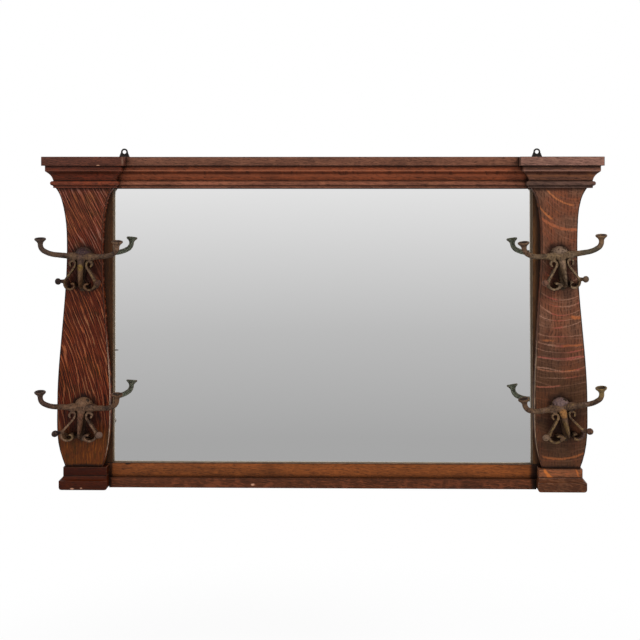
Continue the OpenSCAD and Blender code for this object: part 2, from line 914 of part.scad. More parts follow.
left_hanger_x = left_hanger_inset - post_x;
right_hanger_x = post_x - right_hanger_inset;
hanger_screw_edge = 9;
hanger_shoulder_rise = 2;
eye_neck_in = 0.3;
eye_z = cap_top + eye_rise;
hanger_bottom = cap_top - hanger_drop;
eye_d = eye_hole_d + 2 * eye_rim;
HANGER_SCREW_ZS = [hanger_bottom + hanger_screw_edge, cap_top - cap_t / 2];
HANGER_XS = [left_hanger_x, right_hanger_x];

// Flat outline of a hanger plate, with its eye at the top.
module hanger_outline() {
    shoulder_z = cap_top + hanger_shoulder_rise;
    difference() {
        union() {
            translate([-hanger_w / 2, hanger_bottom]) square([hanger_w, shoulder_z - hanger_bottom]);
            polygon([[-hanger_w / 2, shoulder_z], [hanger_w / 2, shoulder_z],
                     [eye_d / 2 - eye_neck_in, eye_z], [-eye_d / 2 + eye_neck_in, eye_z]]);
            translate([0, eye_z]) circle(d = eye_d);
        }
        translate([0, eye_z]) circle(d = eye_hole_d);
    }
}

module hanger(x) {
    color(STEEL)
        translate([x, 0, 0])
            difference() {
                raised(0, hanger_t) hanger_outline();
                for (z = HANGER_SCREW_ZS)
                    translate([0, 0, z]) rotate([90, 0, 0]) hanger_screw(glue_gap);
            }
}

// A countersunk screw pointing along +z, its head just below z = 0.
module hanger_screw(gap = 0) {
    translate([0, 0, gap > 0 ? -cut : 0])
        cylinder(d = hanger_screw_d + 2 * gap, h = hanger_screw_len + gap + (gap > 0 ? cut : 0));
    translate([0, 0, gap > 0 ? -skin : head_sink])
        cylinder(d1 = 2 * hanger_screw_d + 2 * gap, d2 = hanger_screw_d + 2 * gap,
                 h = hanger_screw_d / 2);
}

module hanger_screw_holes() {
    for (x = HANGER_XS, z = HANGER_SCREW_ZS)
        translate([x, 0, z])
            rotate([90, 0, 0])
                cylinder(d = hanger_screw_d + 2 * glue_gap, h = hanger_screw_len + glue_gap);
}

// Shallow recesses that take the hanger plates in the back of the rail and the cap boards.
module hanger_recesses() {
    for (x = HANGER_XS)
        block([x - hanger_w / 2 - glue_gap, -cut, hanger_bottom - glue_gap],
              [x + hanger_w / 2 + glue_gap, hanger_t, cap_top + cut]);
}

module hanger_screws() {
    color(STEEL)
        for (x = HANGER_XS, z = HANGER_SCREW_ZS)
            translate([x, 0, z]) rotate([90, 0, 0]) hanger_screw();
}

// ---------------------------------------------------------------- the assembly

stile(-1);  // left_stile
stile(1);  // right_stile
top_rail();
bottom_rail();
frame_dowels();
mirror_plate();
backing_board(2);  // upper_backing_board
backing_board(1);  // middle_backing_board
backing_board(0);  // lower_backing_board
backing_brads();
post(-1);  // left_post
post(1);  // right_post
post_screws(-1);  // left_post_screws
post_screws(1);  // right_post_screws
capital_block(-1);  // left_capital_block
capital_block(1);  // right_capital_block
capital_cap(-1);  // left_cap_board
center_cap_board();
capital_cap(1);  // right_cap_board
crown_front(-1);  // left_crown_front
crown_outer_return(-1);  // left_crown_outer_return
crown_inner_return(-1);  // left_crown_inner_return
center_crown();
crown_front(1);  // right_crown_front
crown_outer_return(1);  // right_crown_outer_return
crown_inner_return(1);  // right_crown_inner_return
bead_front(-1);  // left_bead_front
bead_outer_return(-1);  // left_bead_outer_return
bead_inner_return(-1);  // left_bead_inner_return
center_bead();
bead_front(1);  // right_bead_front
bead_outer_return(1);  // right_bead_outer_return
bead_inner_return(1);  // right_bead_inner_return
plinth_block(-1);  // left_plinth_block
plinth_block(1);  // right_plinth_block
plinth_base(-1);  // left_plinth_base
plinth_base(1);  // right_plinth_base
base_strip();
hook(-1, upper_hook_z);  // upper_left_hook
hook(-1, lower_hook_z);  // lower_left_hook
hook(1, upper_hook_z);  // upper_right_hook
hook(1, lower_hook_z);  // lower_right_hook
hook_screws(-1, upper_hook_z);  // upper_left_hook_screws
hook_screws(-1, lower_hook_z);  // lower_left_hook_screws
hook_screws(1, upper_hook_z);  // upper_right_hook_screws
hook_screws(1, lower_hook_z);  // lower_right_hook_screws
hanger(left_hanger_x);  // left_hanger
hanger(right_hanger_x);  // right_hanger
hanger_screws();
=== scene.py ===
# Looks of a wall-hung oak hall mirror with four cast double hooks.
# Metres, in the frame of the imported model: origin at the mirror's centre on the wall plane,
# +X right, +Z up, the front faces -Y.
import json
from math import atan2, ceil, copysign, cos, exp, hypot, pi, radians, sin
import bmesh
import bpy
from mathutils import Matrix, Vector, noise


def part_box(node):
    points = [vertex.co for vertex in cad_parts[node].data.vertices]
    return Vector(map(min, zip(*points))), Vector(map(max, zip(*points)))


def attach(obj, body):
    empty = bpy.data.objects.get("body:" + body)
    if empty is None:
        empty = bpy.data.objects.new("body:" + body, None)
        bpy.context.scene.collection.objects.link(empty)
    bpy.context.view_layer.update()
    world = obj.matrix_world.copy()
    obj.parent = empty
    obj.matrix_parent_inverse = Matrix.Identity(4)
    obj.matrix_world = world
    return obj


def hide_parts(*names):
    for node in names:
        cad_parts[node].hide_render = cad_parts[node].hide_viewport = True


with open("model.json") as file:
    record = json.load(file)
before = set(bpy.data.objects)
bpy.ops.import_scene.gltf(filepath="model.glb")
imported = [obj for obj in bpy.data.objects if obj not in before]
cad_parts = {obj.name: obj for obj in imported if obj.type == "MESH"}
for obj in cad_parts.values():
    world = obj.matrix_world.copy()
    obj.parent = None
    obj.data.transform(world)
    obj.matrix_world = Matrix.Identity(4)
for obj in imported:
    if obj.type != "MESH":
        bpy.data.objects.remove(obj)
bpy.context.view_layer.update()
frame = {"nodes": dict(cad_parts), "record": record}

MM = 0.001


def linked(name, data):
    """A new object of the scene."""
    made = bpy.data.objects.new(name, data)
    bpy.context.scene.collection.objects.link(made)
    return made


def as_mesh(bm, name):
    mesh = bpy.data.meshes.new(name)
    bm.to_mesh(mesh)
    bm.free()
    return mesh


# ---- camera

# The foot of the camera's perpendicular on the mirror lies at pixel (345, 180) of the photograph.
IMAGE_PX = 640
CAMERA_PLACE = (0.049, -2.71, 0.312)
CAMERA_TURN = radians(1.14)
FOCAL_PX = 1259.5
FOOT_PX_Y = 180
SENSOR_MM = 36


def make_camera():
    camera = linked("camera", bpy.data.cameras.new("camera"))
    camera.location = CAMERA_PLACE
    camera.rotation_euler = (radians(90), 0, CAMERA_TURN)
    camera.data.sensor_width = SENSOR_MM
    camera.data.lens = SENSOR_MM * FOCAL_PX / IMAGE_PX
    camera.data.shift_y = (FOOT_PX_Y - IMAGE_PX / 2) / IMAGE_PX
    bpy.context.scene.camera = camera


make_camera()
bpy.context.scene.view_settings.view_transform = "Standard"


# ---- node sheets

def linear(tone):
    """A tone of three sRGB numbers from 0 to 255 made linear. One of four numbers is so already."""
    if len(tone) == 4:
        return tone
    values = []
    for part in tone:
        v = part / 255
        values.append(v / 12.92 if v <= 0.04045 else ((v + 0.055) / 1.055) ** 2.4)
    return (*values, 1.0)


class Sheet:
    """The nodes of one material or world, and the colour painted so far."""

    def __init__(self, tree):
        self.tree = tree
        self.colour = None
        tree.nodes.clear()
        self.coordinates = self.node("TexCoord").outputs
        # The piece's own, which are the model's at rest
        self.place = self.coordinates["Object"]

    def node(self, kind, inputs=(), **settings):
        made = self.tree.nodes.new("ShaderNode" + kind)
        for key, value in settings.items():
            setattr(made, key, value)
        for key, value in dict(inputs).items():
            socket = made.inputs[key]
            if isinstance(value, bpy.types.NodeSocket):
                self.tree.links.new(value, socket)
            elif value is not None:
                socket.default_value = linear(value) if socket.type == "RGBA" else value
        return made

    def math(self, operation, a, b=None, c=None, clamp=False):
        made = self.node("Math", {0: a, 1: b, 2: c}, operation=operation, use_clamp=clamp)
        return made.outputs[0]

    def times(self, product, *others):
        for other in others:
            product = self.math("MULTIPLY", product, other)
        return product

    def plus(self, a, b):
        return self.math("ADD", a, b)

    def minus(self, a, b):
        return self.math("SUBTRACT", a, b)

    def over(self, a, b):
        return self.math("DIVIDE", a, b)

    def times_plus(self, a, b, c):
        return self.math("MULTIPLY_ADD", a, b, c)

    def off(self, a, b=0.0):
        """How far a is from b, without its sign."""
        return self.math("ABSOLUTE", self.minus(a, b) if b else a)

    def vector(self, operation, a, b=None):
        made = self.node("VectorMath", {0: a, 1: b}, operation=operation)
        return made.outputs["Value" if operation == "LENGTH" else "Vector"]

    def combine(self, x, y, z):
        return self.node("CombineXYZ", {0: x, 1: y, 2: z}).outputs[0]

    def split(self, vector):
        return self.node("SeparateXYZ", {0: vector}).outputs

    def noise(self, vector, scale=1.0, detail=2.0, roughness=0.5, distortion=0.0):
        made = self.node("TexNoise", {
            "Vector": vector, "Scale": scale, "Detail": detail,
            "Roughness": roughness, "Distortion": distortion})
        return made.outputs["Fac"]

    def fade(self, value, low, high, to_low=0.0, to_high=1.0):
        """Smooth step of value from low to high."""
        made = self.node("MapRange", {
            "Value": value, "From Min": low, "From Max": high,
            "To Min": to_low, "To Max": to_high}, interpolation_type="SMOOTHSTEP")
        return made.outputs["Result"]

    def mix(self, factor, a, b):
        made = self.node("Mix", {0: factor, 6: a, 7: b},
                         data_type="RGBA", blend_type="MIX", clamp_factor=True)
        return made.outputs[2]

    def paint(self, share, tone):
        """Covers the colour so far with a tone."""
        self.colour = self.mix(share, self.colour, tone)

    def tint(self, mask, amount, tone):
        self.paint(self.math("MULTIPLY", mask, amount, clamp=True), tone)

    def filter(self, factors):
        """Multiplies the red, green and blue of the colour so far."""
        self.colour = self.vector("MULTIPLY", self.colour, factors)

    def ramp(self, value, stops):
        made = self.node("ValToRGB", {0: value})
        elements = made.color_ramp.elements
        while len(elements) < len(stops):
            elements.new(0.5)
        for element, (place, tone) in zip(elements, stops):
            element.position = place
            element.color = linear(tone)
        return made.outputs[0]

    def bump(self, height, distance, strength):
        made = self.node("Bump", {"Height": height, "Distance": distance, "Strength": strength})
        return made.outputs[0]

    def end(self, shader, kind="OutputMaterial"):
        self.node(kind, {"Surface": shader.outputs[0]})


def new_material(name):
    material = bpy.data.materials.new(name)
    material.use_nodes = True
    return material, Sheet(material.node_tree)


def finish_material(sheet, **inputs):
    """Puts the sheet's colour and the other inputs on one Principled shader."""
    names = {"metallic": "Metallic", "roughness": "Roughness", "normal": "Normal",
             "gloss": "Specular IOR Level"}
    named = {names[key]: value for key, value in inputs.items()}
    sheet.end(sheet.node("BsdfPrincipled", {"Base Color": sheet.colour, **named}))


# ---- light and floor

# What the mirror and the metal see at each height of the reflected ray: minus its slope, grey.
REFLECTED_GREYS = [(0.0, 0.86), (0.30, 0.825), (0.36, 0.67), (0.42, 0.525), (0.50, 0.405), (1.0, 0.32)]
AMBIENT = 0.50
WHITE = (1.0, 1.0, 1.0, 1.0)


def grey(value):
    return (value, value, value, 1.0)


def make_world():
    world = bpy.data.worlds.new("studio")
    bpy.context.scene.world = world
    world.use_nodes = True
    sheet = Sheet(world.node_tree)
    height = sheet.split(sheet.coordinates["Generated"])[2]
    # 0.3 at the horizon, 0.5 at a slope of 0.2 downwards
    share = sheet.math("MULTIPLY_ADD", height, -1.0, 0.3, clamp=True)
    reflected = sheet.ramp(share, [(place, grey(value)) for place, value in REFLECTED_GREYS])
    path = sheet.node("LightPath")
    seen = sheet.mix(path.outputs["Is Glossy Ray"], grey(AMBIENT), reflected)
    seen = sheet.mix(path.outputs["Is Camera Ray"], seen, WHITE)
    seen = sheet.mix(path.outputs["Is Transmission Ray"], seen, WHITE)
    sheet.end(sheet.node("Background", {"Color": seen, "Strength": 1.0}), "OutputWorld")


def make_lamp(name, place, size, power):
    """A round lamp that points at the mirror's middle."""
    lamp = bpy.data.lights.new(name, "AREA")
    lamp.shape = "DISK"
    lamp.size = size
    lamp.energy = power
    lamp.specular_factor = 0.35
    holder = linked(name, lamp)
    holder.location = place
    holder.rotation_euler = (-Vector(place)).to_track_quat("-Z", "Y").to_euler()
    holder.visible_glossy = False
    holder.visible_camera = False


FLOOR_Z = -0.9
FLOOR_HALF = 1.6


def make_floor():
    bm = bmesh.new()
    bmesh.ops.create_grid(bm, x_segments=8, y_segments=8, size=FLOOR_HALF)
    floor = linked("floor", as_mesh(bm, "floor"))
    floor.location = (0, 0, FLOOR_Z)
    # The mirror would show the floor's edge from the side
    floor.visible_glossy = False
    material, sheet = new_material("pale_floor")
    diffuse = sheet.node("BsdfDiffuse", {"Color": grey(0.95)})
    white = sheet.node("Emission", {"Color": WHITE, "Strength": 1.0})
    path = sheet.node("LightPath")
    far = sheet.vector("LENGTH", sheet.place)
    # White to the eye towards the rim, so that no edge shows against the backdrop
    seen = sheet.times(path.outputs["Is Camera Ray"], sheet.fade(far, 0.7, 1.4, 0.93, 1.0))
    sheet.end(sheet.node("MixShader", {0: seen, 1: diffuse.outputs[0], 2: white.outputs[0]}))
    floor.data.materials.append(material)


make_world()
make_lamp("key", (1.9, -2.3, 2.1), 1.1, 80)
make_lamp("fill", (-2.0, -2.6, 0.7), 2.2, 26)
make_floor()


# ---- oak

LEFT_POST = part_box("left_post")
POST_X = -(LEFT_POST[0].x + LEFT_POST[1].x) / 2
POST_FRONT = -LEFT_POST[0].y
POST_FOOT = LEFT_POST[0].z
# Where each hook is screwed on: across, up, and its turn in degrees.
HOOK_PLACES = {
    "upper_left_hook": (-POST_X - 0.0030, 0.1525, 2.0),
    "lower_left_hook": (-POST_X - 0.0030, -0.1655, 1.5),
    "upper_right_hook": (POST_X - 0.0025, 0.1560, -5.5),
    "lower_right_hook": (POST_X - 0.0005, -0.1625, -8.5),
}
SIGHT_X = -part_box("left_stile")[1].x
SIGHT_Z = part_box("top_rail")[0].z
# Tone of dirt, and of painted shade in corners, round the hooks and at the feet of posts, rails and
# blocks.
GRIME_AND_SHADE = (22, 11, 7)


def shades(tone, *factors):
    return [tuple(v * factor for v in tone) for factor in factors]


def streaks(sheet, u, w, gap, length, share, seed, wander=16.0, breaks=(0.40, 0.56)):
    """Mask of thin lines that run along w, about gap apart across u, and come and go."""
    slow = sheet.combine(sheet.over(u, 2.5 * gap), sheet.over(w, length), seed)
    phase = sheet.times_plus(sheet.noise(slow, 1.0, 2.0), wander, sheet.times(u, 2 * pi / gap))
    comb = sheet.fade(sheet.math("COSINE", phase), 1 - 2 * share, 1.0)
    quick = sheet.combine(sheet.over(u, gap), sheet.over(w, 0.5 * length), seed + 7.7)
    return sheet.times(comb, sheet.fade(sheet.noise(quick, 1.0, 1.0), *breaks))


def arc(sheet, x, middle, bend):
    """bend * (x - middle)^2"""
    off = sheet.minus(x, middle)
    return sheet.times(off, off, bend)


def flake(sheet, x, z, middle, low, bend, ends, half, tone):
    """One broad ray along the arc z = low + bend * (x - middle)^2 between two ends."""
    ragged = sheet.times_plus(sheet.noise(sheet.place, 170.0, 2.0), 1.6 * half, -0.8 * half)
    apart = sheet.minus(sheet.plus(z, ragged), sheet.plus(arc(sheet, x, middle, bend), low))
    mask = sheet.times(sheet.fade(sheet.off(apart), half, 0.4 * half),
                       sheet.fade(x, ends[0], ends[0] + 0.008), sheet.fade(x, ends[1], ends[1] - 0.008))
    sheet.tint(mask, 0.85, tone)


def spot(sheet, x, z, place, across, up, tone, amount):
    """A ragged oval of another tone round a point of the front."""
    dx = sheet.over(sheet.minus(x, place[0]), across)
    dz = sheet.over(sheet.minus(z, place[1]), up)
    far = sheet.math("SQRT", sheet.plus(sheet.times(dx, dx), sheet.times(dz, dz)))
    ragged = sheet.noise(sheet.place, 1.6 / up, 3.0)
    far = sheet.times_plus(ragged, 0.9, sheet.minus(far, 0.45))
    sheet.paint(sheet.fade(far, 0.35, 1.1, amount, 0.0), tone)


def jitter(sheet, amount):
    """A small shift that makes the figure's lines ragged."""
    return sheet.times_plus(sheet.noise(sheet.place, 260.0, 2.0), amount, -0.5 * amount)


def left_post_figure(sheet, x, y, z):
    """Slanting rays that lean more towards the top, and upright streaks at the foot."""
    lean = sheet.times_plus(sheet.times_plus(z, -0.633, 0.475), z, 0.38)
    u = sheet.plus(sheet.times_plus(lean, z, x), jitter(sheet, 0.0016))
    w = sheet.times_plus(y, 3.0, z)
    high = sheet.fade(z, -0.235, -0.200)
    patch = sheet.noise(sheet.place, 16.0, 2.0)
    sheet.tint(sheet.fade(patch, 0.60, 0.44), 0.45, (104, 34, 24))
    olive = sheet.noise(sheet.place, 27.0, 2.0)
    sheet.tint(sheet.fade(olive, 0.55, 0.68), 0.5, (72, 54, 30))
    sheet.tint(streaks(sheet, u, w, 0.0060, 0.05, 0.42, 9.4), 0.95, (40, 12, 5))
    fine = streaks(sheet, u, w, 0.0048, 0.06, 0.28, 4.1, 12.0, (0.34, 0.50))
    sheet.tint(sheet.times(fine, high), 0.85, (160, 78, 70))
    ray = sheet.ramp(patch, [(0.38, (184, 138, 150)), (0.5, (192, 126, 132)), (0.62, (192, 114, 84))])
    broad = streaks(sheet, u, w, 0.0086, 0.11, 0.22, 1.3, 22.0, (0.36, 0.54))
    sheet.paint(sheet.times(broad, sheet.fade(z, 0.08, 0.16, 1.0, 0.8), high, 0.92), ray)
    low = sheet.fade(z, -0.205, -0.235)
    sheet.tint(low, 0.6, (108, 66, 42))
    pale = streaks(sheet, x, w, 0.0064, 0.05, 0.30, 2.2)
    sheet.tint(sheet.times(pale, low), 0.8, (140, 86, 44))
    dark = streaks(sheet, x, w, 0.0150, 0.05, 0.36, 5.2)
    sheet.tint(sheet.times(dark, low), 0.6, (66, 48, 20))
    faded = sheet.mix(sheet.fade(z, 0.05, 0.28), WHITE, (1.25, 1.66, 3.0, 1.0))
    sheet.filter(sheet.mix(low, faded, (1.36, 1.45, 1.4, 1.0)))


# Middle, lowest place, bend, ends, half width and tone of the right post's broad rays.
RIGHT_FLAKES = [
    (0.5296, 0.2066, 5.6, (0.458, 0.552), 0.0042, (160, 88, 58)),
    (0.5022, 0.2255, 16.6, (0.452, 0.490), 0.0034, (178, 100, 56)),
    (0.5338, 0.2593, 9.0, (0.470, 0.534), 0.0030, (170, 98, 60)),
    (0.5350, 0.0215, 14.0, (0.522, 0.552), 0.0050, (168, 92, 52)),
    (0.4800, -0.0270, 6.0, (0.462, 0.492), 0.0026, (166, 94, 56)),
    (0.5300, -0.0370, 5.0, (0.514, 0.552), 0.0028, (164, 90, 54)),
    (0.5000, -0.0650, 2.4, (0.452, 0.552), 0.0024, (150, 78, 66)),
    (0.5050, -0.0925, 2.4, (0.450, 0.548), 0.0020, (140, 88, 66)),
    (0.4700, -0.1250, 3.4, (0.448, 0.506), 0.0022, (142, 80, 62)),
    (0.5000, -0.2765, 4.6, (0.462, 0.556), 0.0030, (138, 76, 42)),
]
RIGHT_RAY_TONES = [(0.42, (146, 102, 84)), (0.54, (142, 94, 74)), (0.61, (148, 72, 60)),
                   (0.68, (182, 100, 52))]


def right_post_figure(sheet, x, y, z):
    """Rays that sag across the board like smiles, and a few broad flakes."""
    middle = sheet.fade(z, 0.10, 0.20, 0.506, 0.535)
    sag = sheet.times(arc(sheet, x, middle, 1.0), sheet.fade(z, -0.03, 0.06, 3.3, 8.0))
    u = sheet.plus(sheet.minus(z, sag), jitter(sheet, 0.0030))
    w = sheet.times_plus(y, 3.0, x)
    patch = sheet.noise(sheet.place, 17.0, 2.0)
    low = sheet.fade(z, 0.0, -0.14)
    sheet.tint(low, 0.9, (68, 42, 25))
    red = sheet.times(sheet.fade(patch, 0.42, 0.66), sheet.times_plus(low, -0.6, 1.0))
    sheet.tint(red, 0.45, (122, 58, 34))
    sheet.tint(streaks(sheet, x, z, 0.0068, 0.020, 0.40, 3.7, 9.0), 0.72, (52, 28, 18))
    fine = streaks(sheet, u, w, 0.0062, 0.05, 0.26, 6.1)
    sheet.tint(sheet.times(fine, sheet.fade(low, 0.0, 1.0, 1.0, 0.35)), 0.50, (126, 84, 68))
    lines = sheet.times(streaks(sheet, u, w, 0.0172, 0.16, 0.10, 2.9, 15.0, (0.30, 0.46)),
                        sheet.fade(z, 0.19, 0.13, 0.25, 0.95), sheet.fade(z, -0.13, -0.09, 0.12, 1.0))
    sheet.paint(lines, sheet.ramp(patch, RIGHT_RAY_TONES))
    for place in RIGHT_FLAKES:
        flake(sheet, x, z, *place)


def board_figure(fleck, amount, gap=0.0055, lean=0.1):
    """Short pale rays nearly along a level board or moulding."""
    def figure(sheet, x, y, z):
        u = sheet.times_plus(y, 0.8, sheet.times_plus(x, lean, z))
        u = sheet.plus(u, jitter(sheet, 0.003))
        sheet.tint(streaks(sheet, u, x, 0.6 * gap, 0.022, 0.35, 8.3), 0.6, GRIME_AND_SHADE)
        sheet.tint(streaks(sheet, u, x, gap, 0.035, 0.3, 1.7), amount, fleck)
        patch = sheet.noise(sheet.place, 42.0, 4.0, 0.6)
        sheet.tint(sheet.fade(patch, 0.53, 0.66), 0.8 * amount, fleck)
    return figure


def stile_figure(sheet, x, y, z):
    """Paler along the glass and darker by the post, as painted shade of the post on the stile, on the
    right stile more than on the left.
    """
    sheet.tint(streaks(sheet, x, z, 0.005, 0.06, 0.3, 2.7), 0.4, (74, 50, 34))
    unshaded_strip = sheet.times(sheet.fade(sheet.off(x), SIGHT_X + 0.013, SIGHT_X + 0.002),
                        sheet.fade(x, -0.01, 0.01, 0.12, 0.8))
    sheet.tint(unshaded_strip, 1.0, (96, 72, 58))


def right_block_figure(sheet, x, y, z):
    board_figure((140, 74, 46), 0.5)(sheet, x, y, z)
    flake(sheet, x, z, 0.51, -0.3317, 19.3, (0.462, 0.492), 0.0072, (164, 92, 42))
    flake(sheet, x, z, 0.60, -0.375, 18.0, (0.530, 0.545), 0.007, (156, 84, 40))


def level_line(sheet, z, level, half, tone, amount):
    """A thin level line: painted shade in a quirk, or a paler line along an edge."""
    sheet.tint(sheet.fade(sheet.off(z, level), half, 0.3 * half), amount, tone)


def shelter(sheet, distance):
    """1 on an open face, and less in a corner or a hollow."""
    return sheet.node("AmbientOcclusion", {"Distance": distance}, samples=6).outputs["AO"]


# Dirt and painted shade together: darkens corners and hollows where little light reaches.
def corner_grime_and_shade(sheet, most):
    sheet.paint(sheet.fade(shelter(sheet, 0.011), 0.92, 0.40, 0.0, most), GRIME_AND_SHADE)


def oak(name, mean, stain, figure, seed, upright=False, spots=(), lines=()):
    """Oak of a mean colour, whose red, green and blue the stain multiplies."""
    dark, light, pores = shades(mean, 0.82, 1.18, 0.5)
    material, sheet = new_material(name)
    x, y, z = sheet.split(sheet.place)
    along, across = (z, x) if upright else (x, z)
    # Broad tone, in bands that follow the grain
    bands = sheet.combine(sheet.times_plus(along, 7, seed), sheet.times(across, 60), sheet.times(y, 60))
    sheet.colour = sheet.ramp(sheet.noise(bands, 1.0, 4.0, 0.62, 0.4),
                              [(0.30, dark), (0.50, mean), (0.70, light)])
    figure(sheet, x, y, z)
    sheet.filter(stain)
    # Dark pores, as fine dashes along the grain
    dashes = sheet.combine(sheet.times(along, 95), sheet.times(across, 520), sheet.times(y, 520))
    dashes = sheet.noise(dashes, 1.0, 3.0, 0.6)
    sheet.paint(sheet.fade(dashes, 0.50, 0.68, 0.0, 0.6), pores)
    # Old grime in cloudy patches, and painted shade with grime packed into the corners
    cloud = sheet.fade(sheet.noise(sheet.place, 13.0, 5.0, 0.6), 0.50, 0.75, 0.0, 0.5)
    sheet.paint(cloud, pores)
    for place in spots:
        spot(sheet, x, z, *place)
    for line in lines:
        level_line(sheet, z, *line)
    corner_grime_and_shade(sheet, 0.6 if name.endswith("post") else 0.9)
    finish_material(sheet, gloss=0.14, roughness=sheet.fade(cloud, 0.0, 0.5, 0.44, 0.6),
                    normal=sheet.bump(sheet.times(dashes, -1.0), 0.0006, 0.5))
    return material


def hook_shade_and_dirt(side):
    """Painted shade round the hooks: a dark ring above each dome, partly dirt where no cloth reaches, and
    the casting's shadow below it; and painted shade along the foot of the post.
    """
    spots = [((side * POST_X, POST_FOOT), 0.080, 0.0075, GRIME_AND_SHADE, 0.95)]
    wide = 0.046 if side < 0 else 0.034
    for x, z, _ in HOOK_PLACES.values():
        if x * side > 0:
            spots.append(((x, z + 0.007), 0.032, 0.022, GRIME_AND_SHADE, 0.9))
            spots.append(((x, z - 0.036), wide, 0.040, (46, 17, 9), 0.75))
    return spots


def run(moulding):
    """The nodes of the moulding round one capital."""
    return [f"{moulding}_{part}" for part in ("front", "outer_return", "inner_return")]


PALE_CHIP = (190, 140, 112)
# A pale patch at the left capital's inner end: worn end grain, brightened as a painted highlight of its
# lit return.
WORN_AND_LIT_PATCH = (140, 112, 92)
# Painted shade at the rails' ends beside the plinths.
RAIL_END_SHADE = [((-0.4530, -0.3200), 0.006, 0.060, GRIME_AND_SHADE, 0.8), ((0.4520, -0.3200), 0.010, 0.060, GRIME_AND_SHADE, 0.9)]
# Spots of a look: place across and up, half width and height, tone and amount.
SPOTS = {
    "left_post": hook_shade_and_dirt(-1),
    "right_post": hook_shade_and_dirt(1),
    "rail": [((-0.4157, -0.2950), 0.009, 0.003, GRIME_AND_SHADE, 0.95), *RAIL_END_SHADE],
    "strip": [((-0.1475, -0.3365), 0.005, 0.003, PALE_CHIP, 0.9), *RAIL_END_SHADE],
    "center_cap": [((-0.4220, 0.3500), 0.005, 0.010, WORN_AND_LIT_PATCH, 0.4)],
    "left_cap": [((-0.4702, 0.3420), 0.0045, 0.0024, PALE_CHIP, 0.9),
                 ((-0.4190, 0.3520), 0.003, 0.012, WORN_AND_LIT_PATCH, 0.4)],
    "left_base": [((-0.5284, -0.3410), 0.005, 0.0022, PALE_CHIP, 0.75),
                  ((-0.5093, -0.3400), 0.003, 0.0020, PALE_CHIP, 0.6)],
}
NO_STAIN = (1, 1, 1)

# Look: mean colour, stain, figure or what board_figure takes, nodes.
OAK_LOOKS = {
    "left_post": ((88, 43, 27), (0.51, 0.37, 0.13), left_post_figure, ["left_post"]),
    "right_post": ((104, 66, 49), (0.92, 0.99, 0.97), right_post_figure, ["right_post"]),
    # The stiles' dark mean tone also serves as painted shade of their recess between posts and glass.
    "stiles": ((50, 31, 20), (1.10, 0.82, 0.38), stile_figure, ["left_stile", "right_stile"]),
    "rail": ((114, 63, 34), (1.04, 0.98, 0.72), ((140, 80, 42), 0.4), ["top_rail", "bottom_rail"]),
    "strip": ((86, 48, 31), (0.78, 0.70, 0.52), ((134, 76, 54), 0.6), ["base_strip"]),
    "center_cap": ((107, 69, 54), (0.86, 0.84, 0.80), ((132, 88, 68), 0.5), ["center_cap_board"]),
    "center_crown": ((108, 58, 38), (1.18, 1.02, 0.86), ((136, 72, 44), 0.5), ["center_crown"]),
    "center_bead": ((103, 65, 50), (1.48, 1.34, 1.24), ((128, 84, 62), 0.4), ["center_bead"]),
    "left_cap": ((90, 53, 41), (0.80, 0.76, 0.76), ((122, 70, 50), 0.5), ["left_cap_board"]),
    "left_crown": ((80, 38, 26), (1.06, 1.0, 0.82), ((112, 46, 28), 0.5), run("left_crown")),
    "left_bead": ((92, 48, 34), (1.40, 1.22, 1.08), ((118, 58, 36), 0.5), run("left_bead")),
    "right_cap": ((124, 88, 76), NO_STAIN, ((146, 110, 92), 0.5), ["right_cap_board"]),
    "right_crown": ((94, 60, 46), NO_STAIN, ((128, 80, 54), 0.5), run("right_crown")),
    "right_bead": ((86, 62, 53), NO_STAIN, ((112, 84, 70), 0.4), run("right_bead")),
    "left_block": ((66, 33, 19), (0.56, 0.23, 0.02), ((88, 48, 30), 0.4), ["left_plinth_block"]),
    "left_base": ((66, 35, 20), (0.70, 0.33, 0.07), ((92, 54, 34), 0.4), ["left_plinth_base"]),
    "right_block": ((104, 63, 42), (1.34, 1.30, 1.12), right_block_figure, ["right_plinth_block"]),
    "right_base": ((84, 52, 37), (0.93, 0.77, 0.57), ((116, 82, 64), 0.6, 0.008, 0.3), [
        "right_plinth_base"]),
}
# Looks whose grain runs upright
UPRIGHT = ("left_post", "right_post", "stiles")


def patchy(sheet, patches, tone):
    dark, light = shades(tone, 0.78, 1.22)
    return sheet.ramp(patches, [(0.38, dark), (0.52, tone), (0.68, light)])


def edge_material(name, tone, low_tone=None):
    """An edge of another tone, with finish left in patches, and more worn below the middle. The tone is
    rubbed wear with a painted highlight on edges that look up or to the mirror, and painted shade on the
    dark edges.
    """
    material, sheet = new_material(name)
    patches = sheet.noise(sheet.place, 90.0, 4.0, 0.6)
    sheet.colour = patchy(sheet, patches, tone)
    if low_tone:
        height = sheet.split(sheet.place)[2]
        worn = sheet.times(sheet.fade(height, 0.0, -0.08), sheet.fade(height, -0.285, -0.250))
        sheet.paint(worn, patchy(sheet, patches, low_tone))
    corner_grime_and_shade(sheet, 0.5 if low_tone else 0.9)
    finish_material(sheet, roughness=0.5, gloss=0.14, normal=sheet.bump(patches, 0.0004, 0.3))
    return material


# The last two have a second tone, for the worn part below the middle.
EDGES = {
    "left": edge_material("oak_edge_left", (112, 70, 50)),
    "right": edge_material("oak_edge_right", (136, 104, 88)),
    # Painted shade for the edges that face out or down.
    "dark": edge_material("oak_edge_shaded", (36, 22, 16)),
    "lip": edge_material("oak_lip", (116, 92, 66)),
    "left_post": edge_material("oak_edge_left_post", (86, 44, 28), (160, 130, 110)),
    "right_post": edge_material("oak_edge_right_post", (100, 62, 46), (156, 126, 98)),
}


def new_object(name, mesh, slot, *nodes):
    piece = linked(name, mesh)
    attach(piece, "root")
    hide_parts(*nodes)


SHARP_ANGLE = radians(35)
CREASE_ANGLE = radians(32)


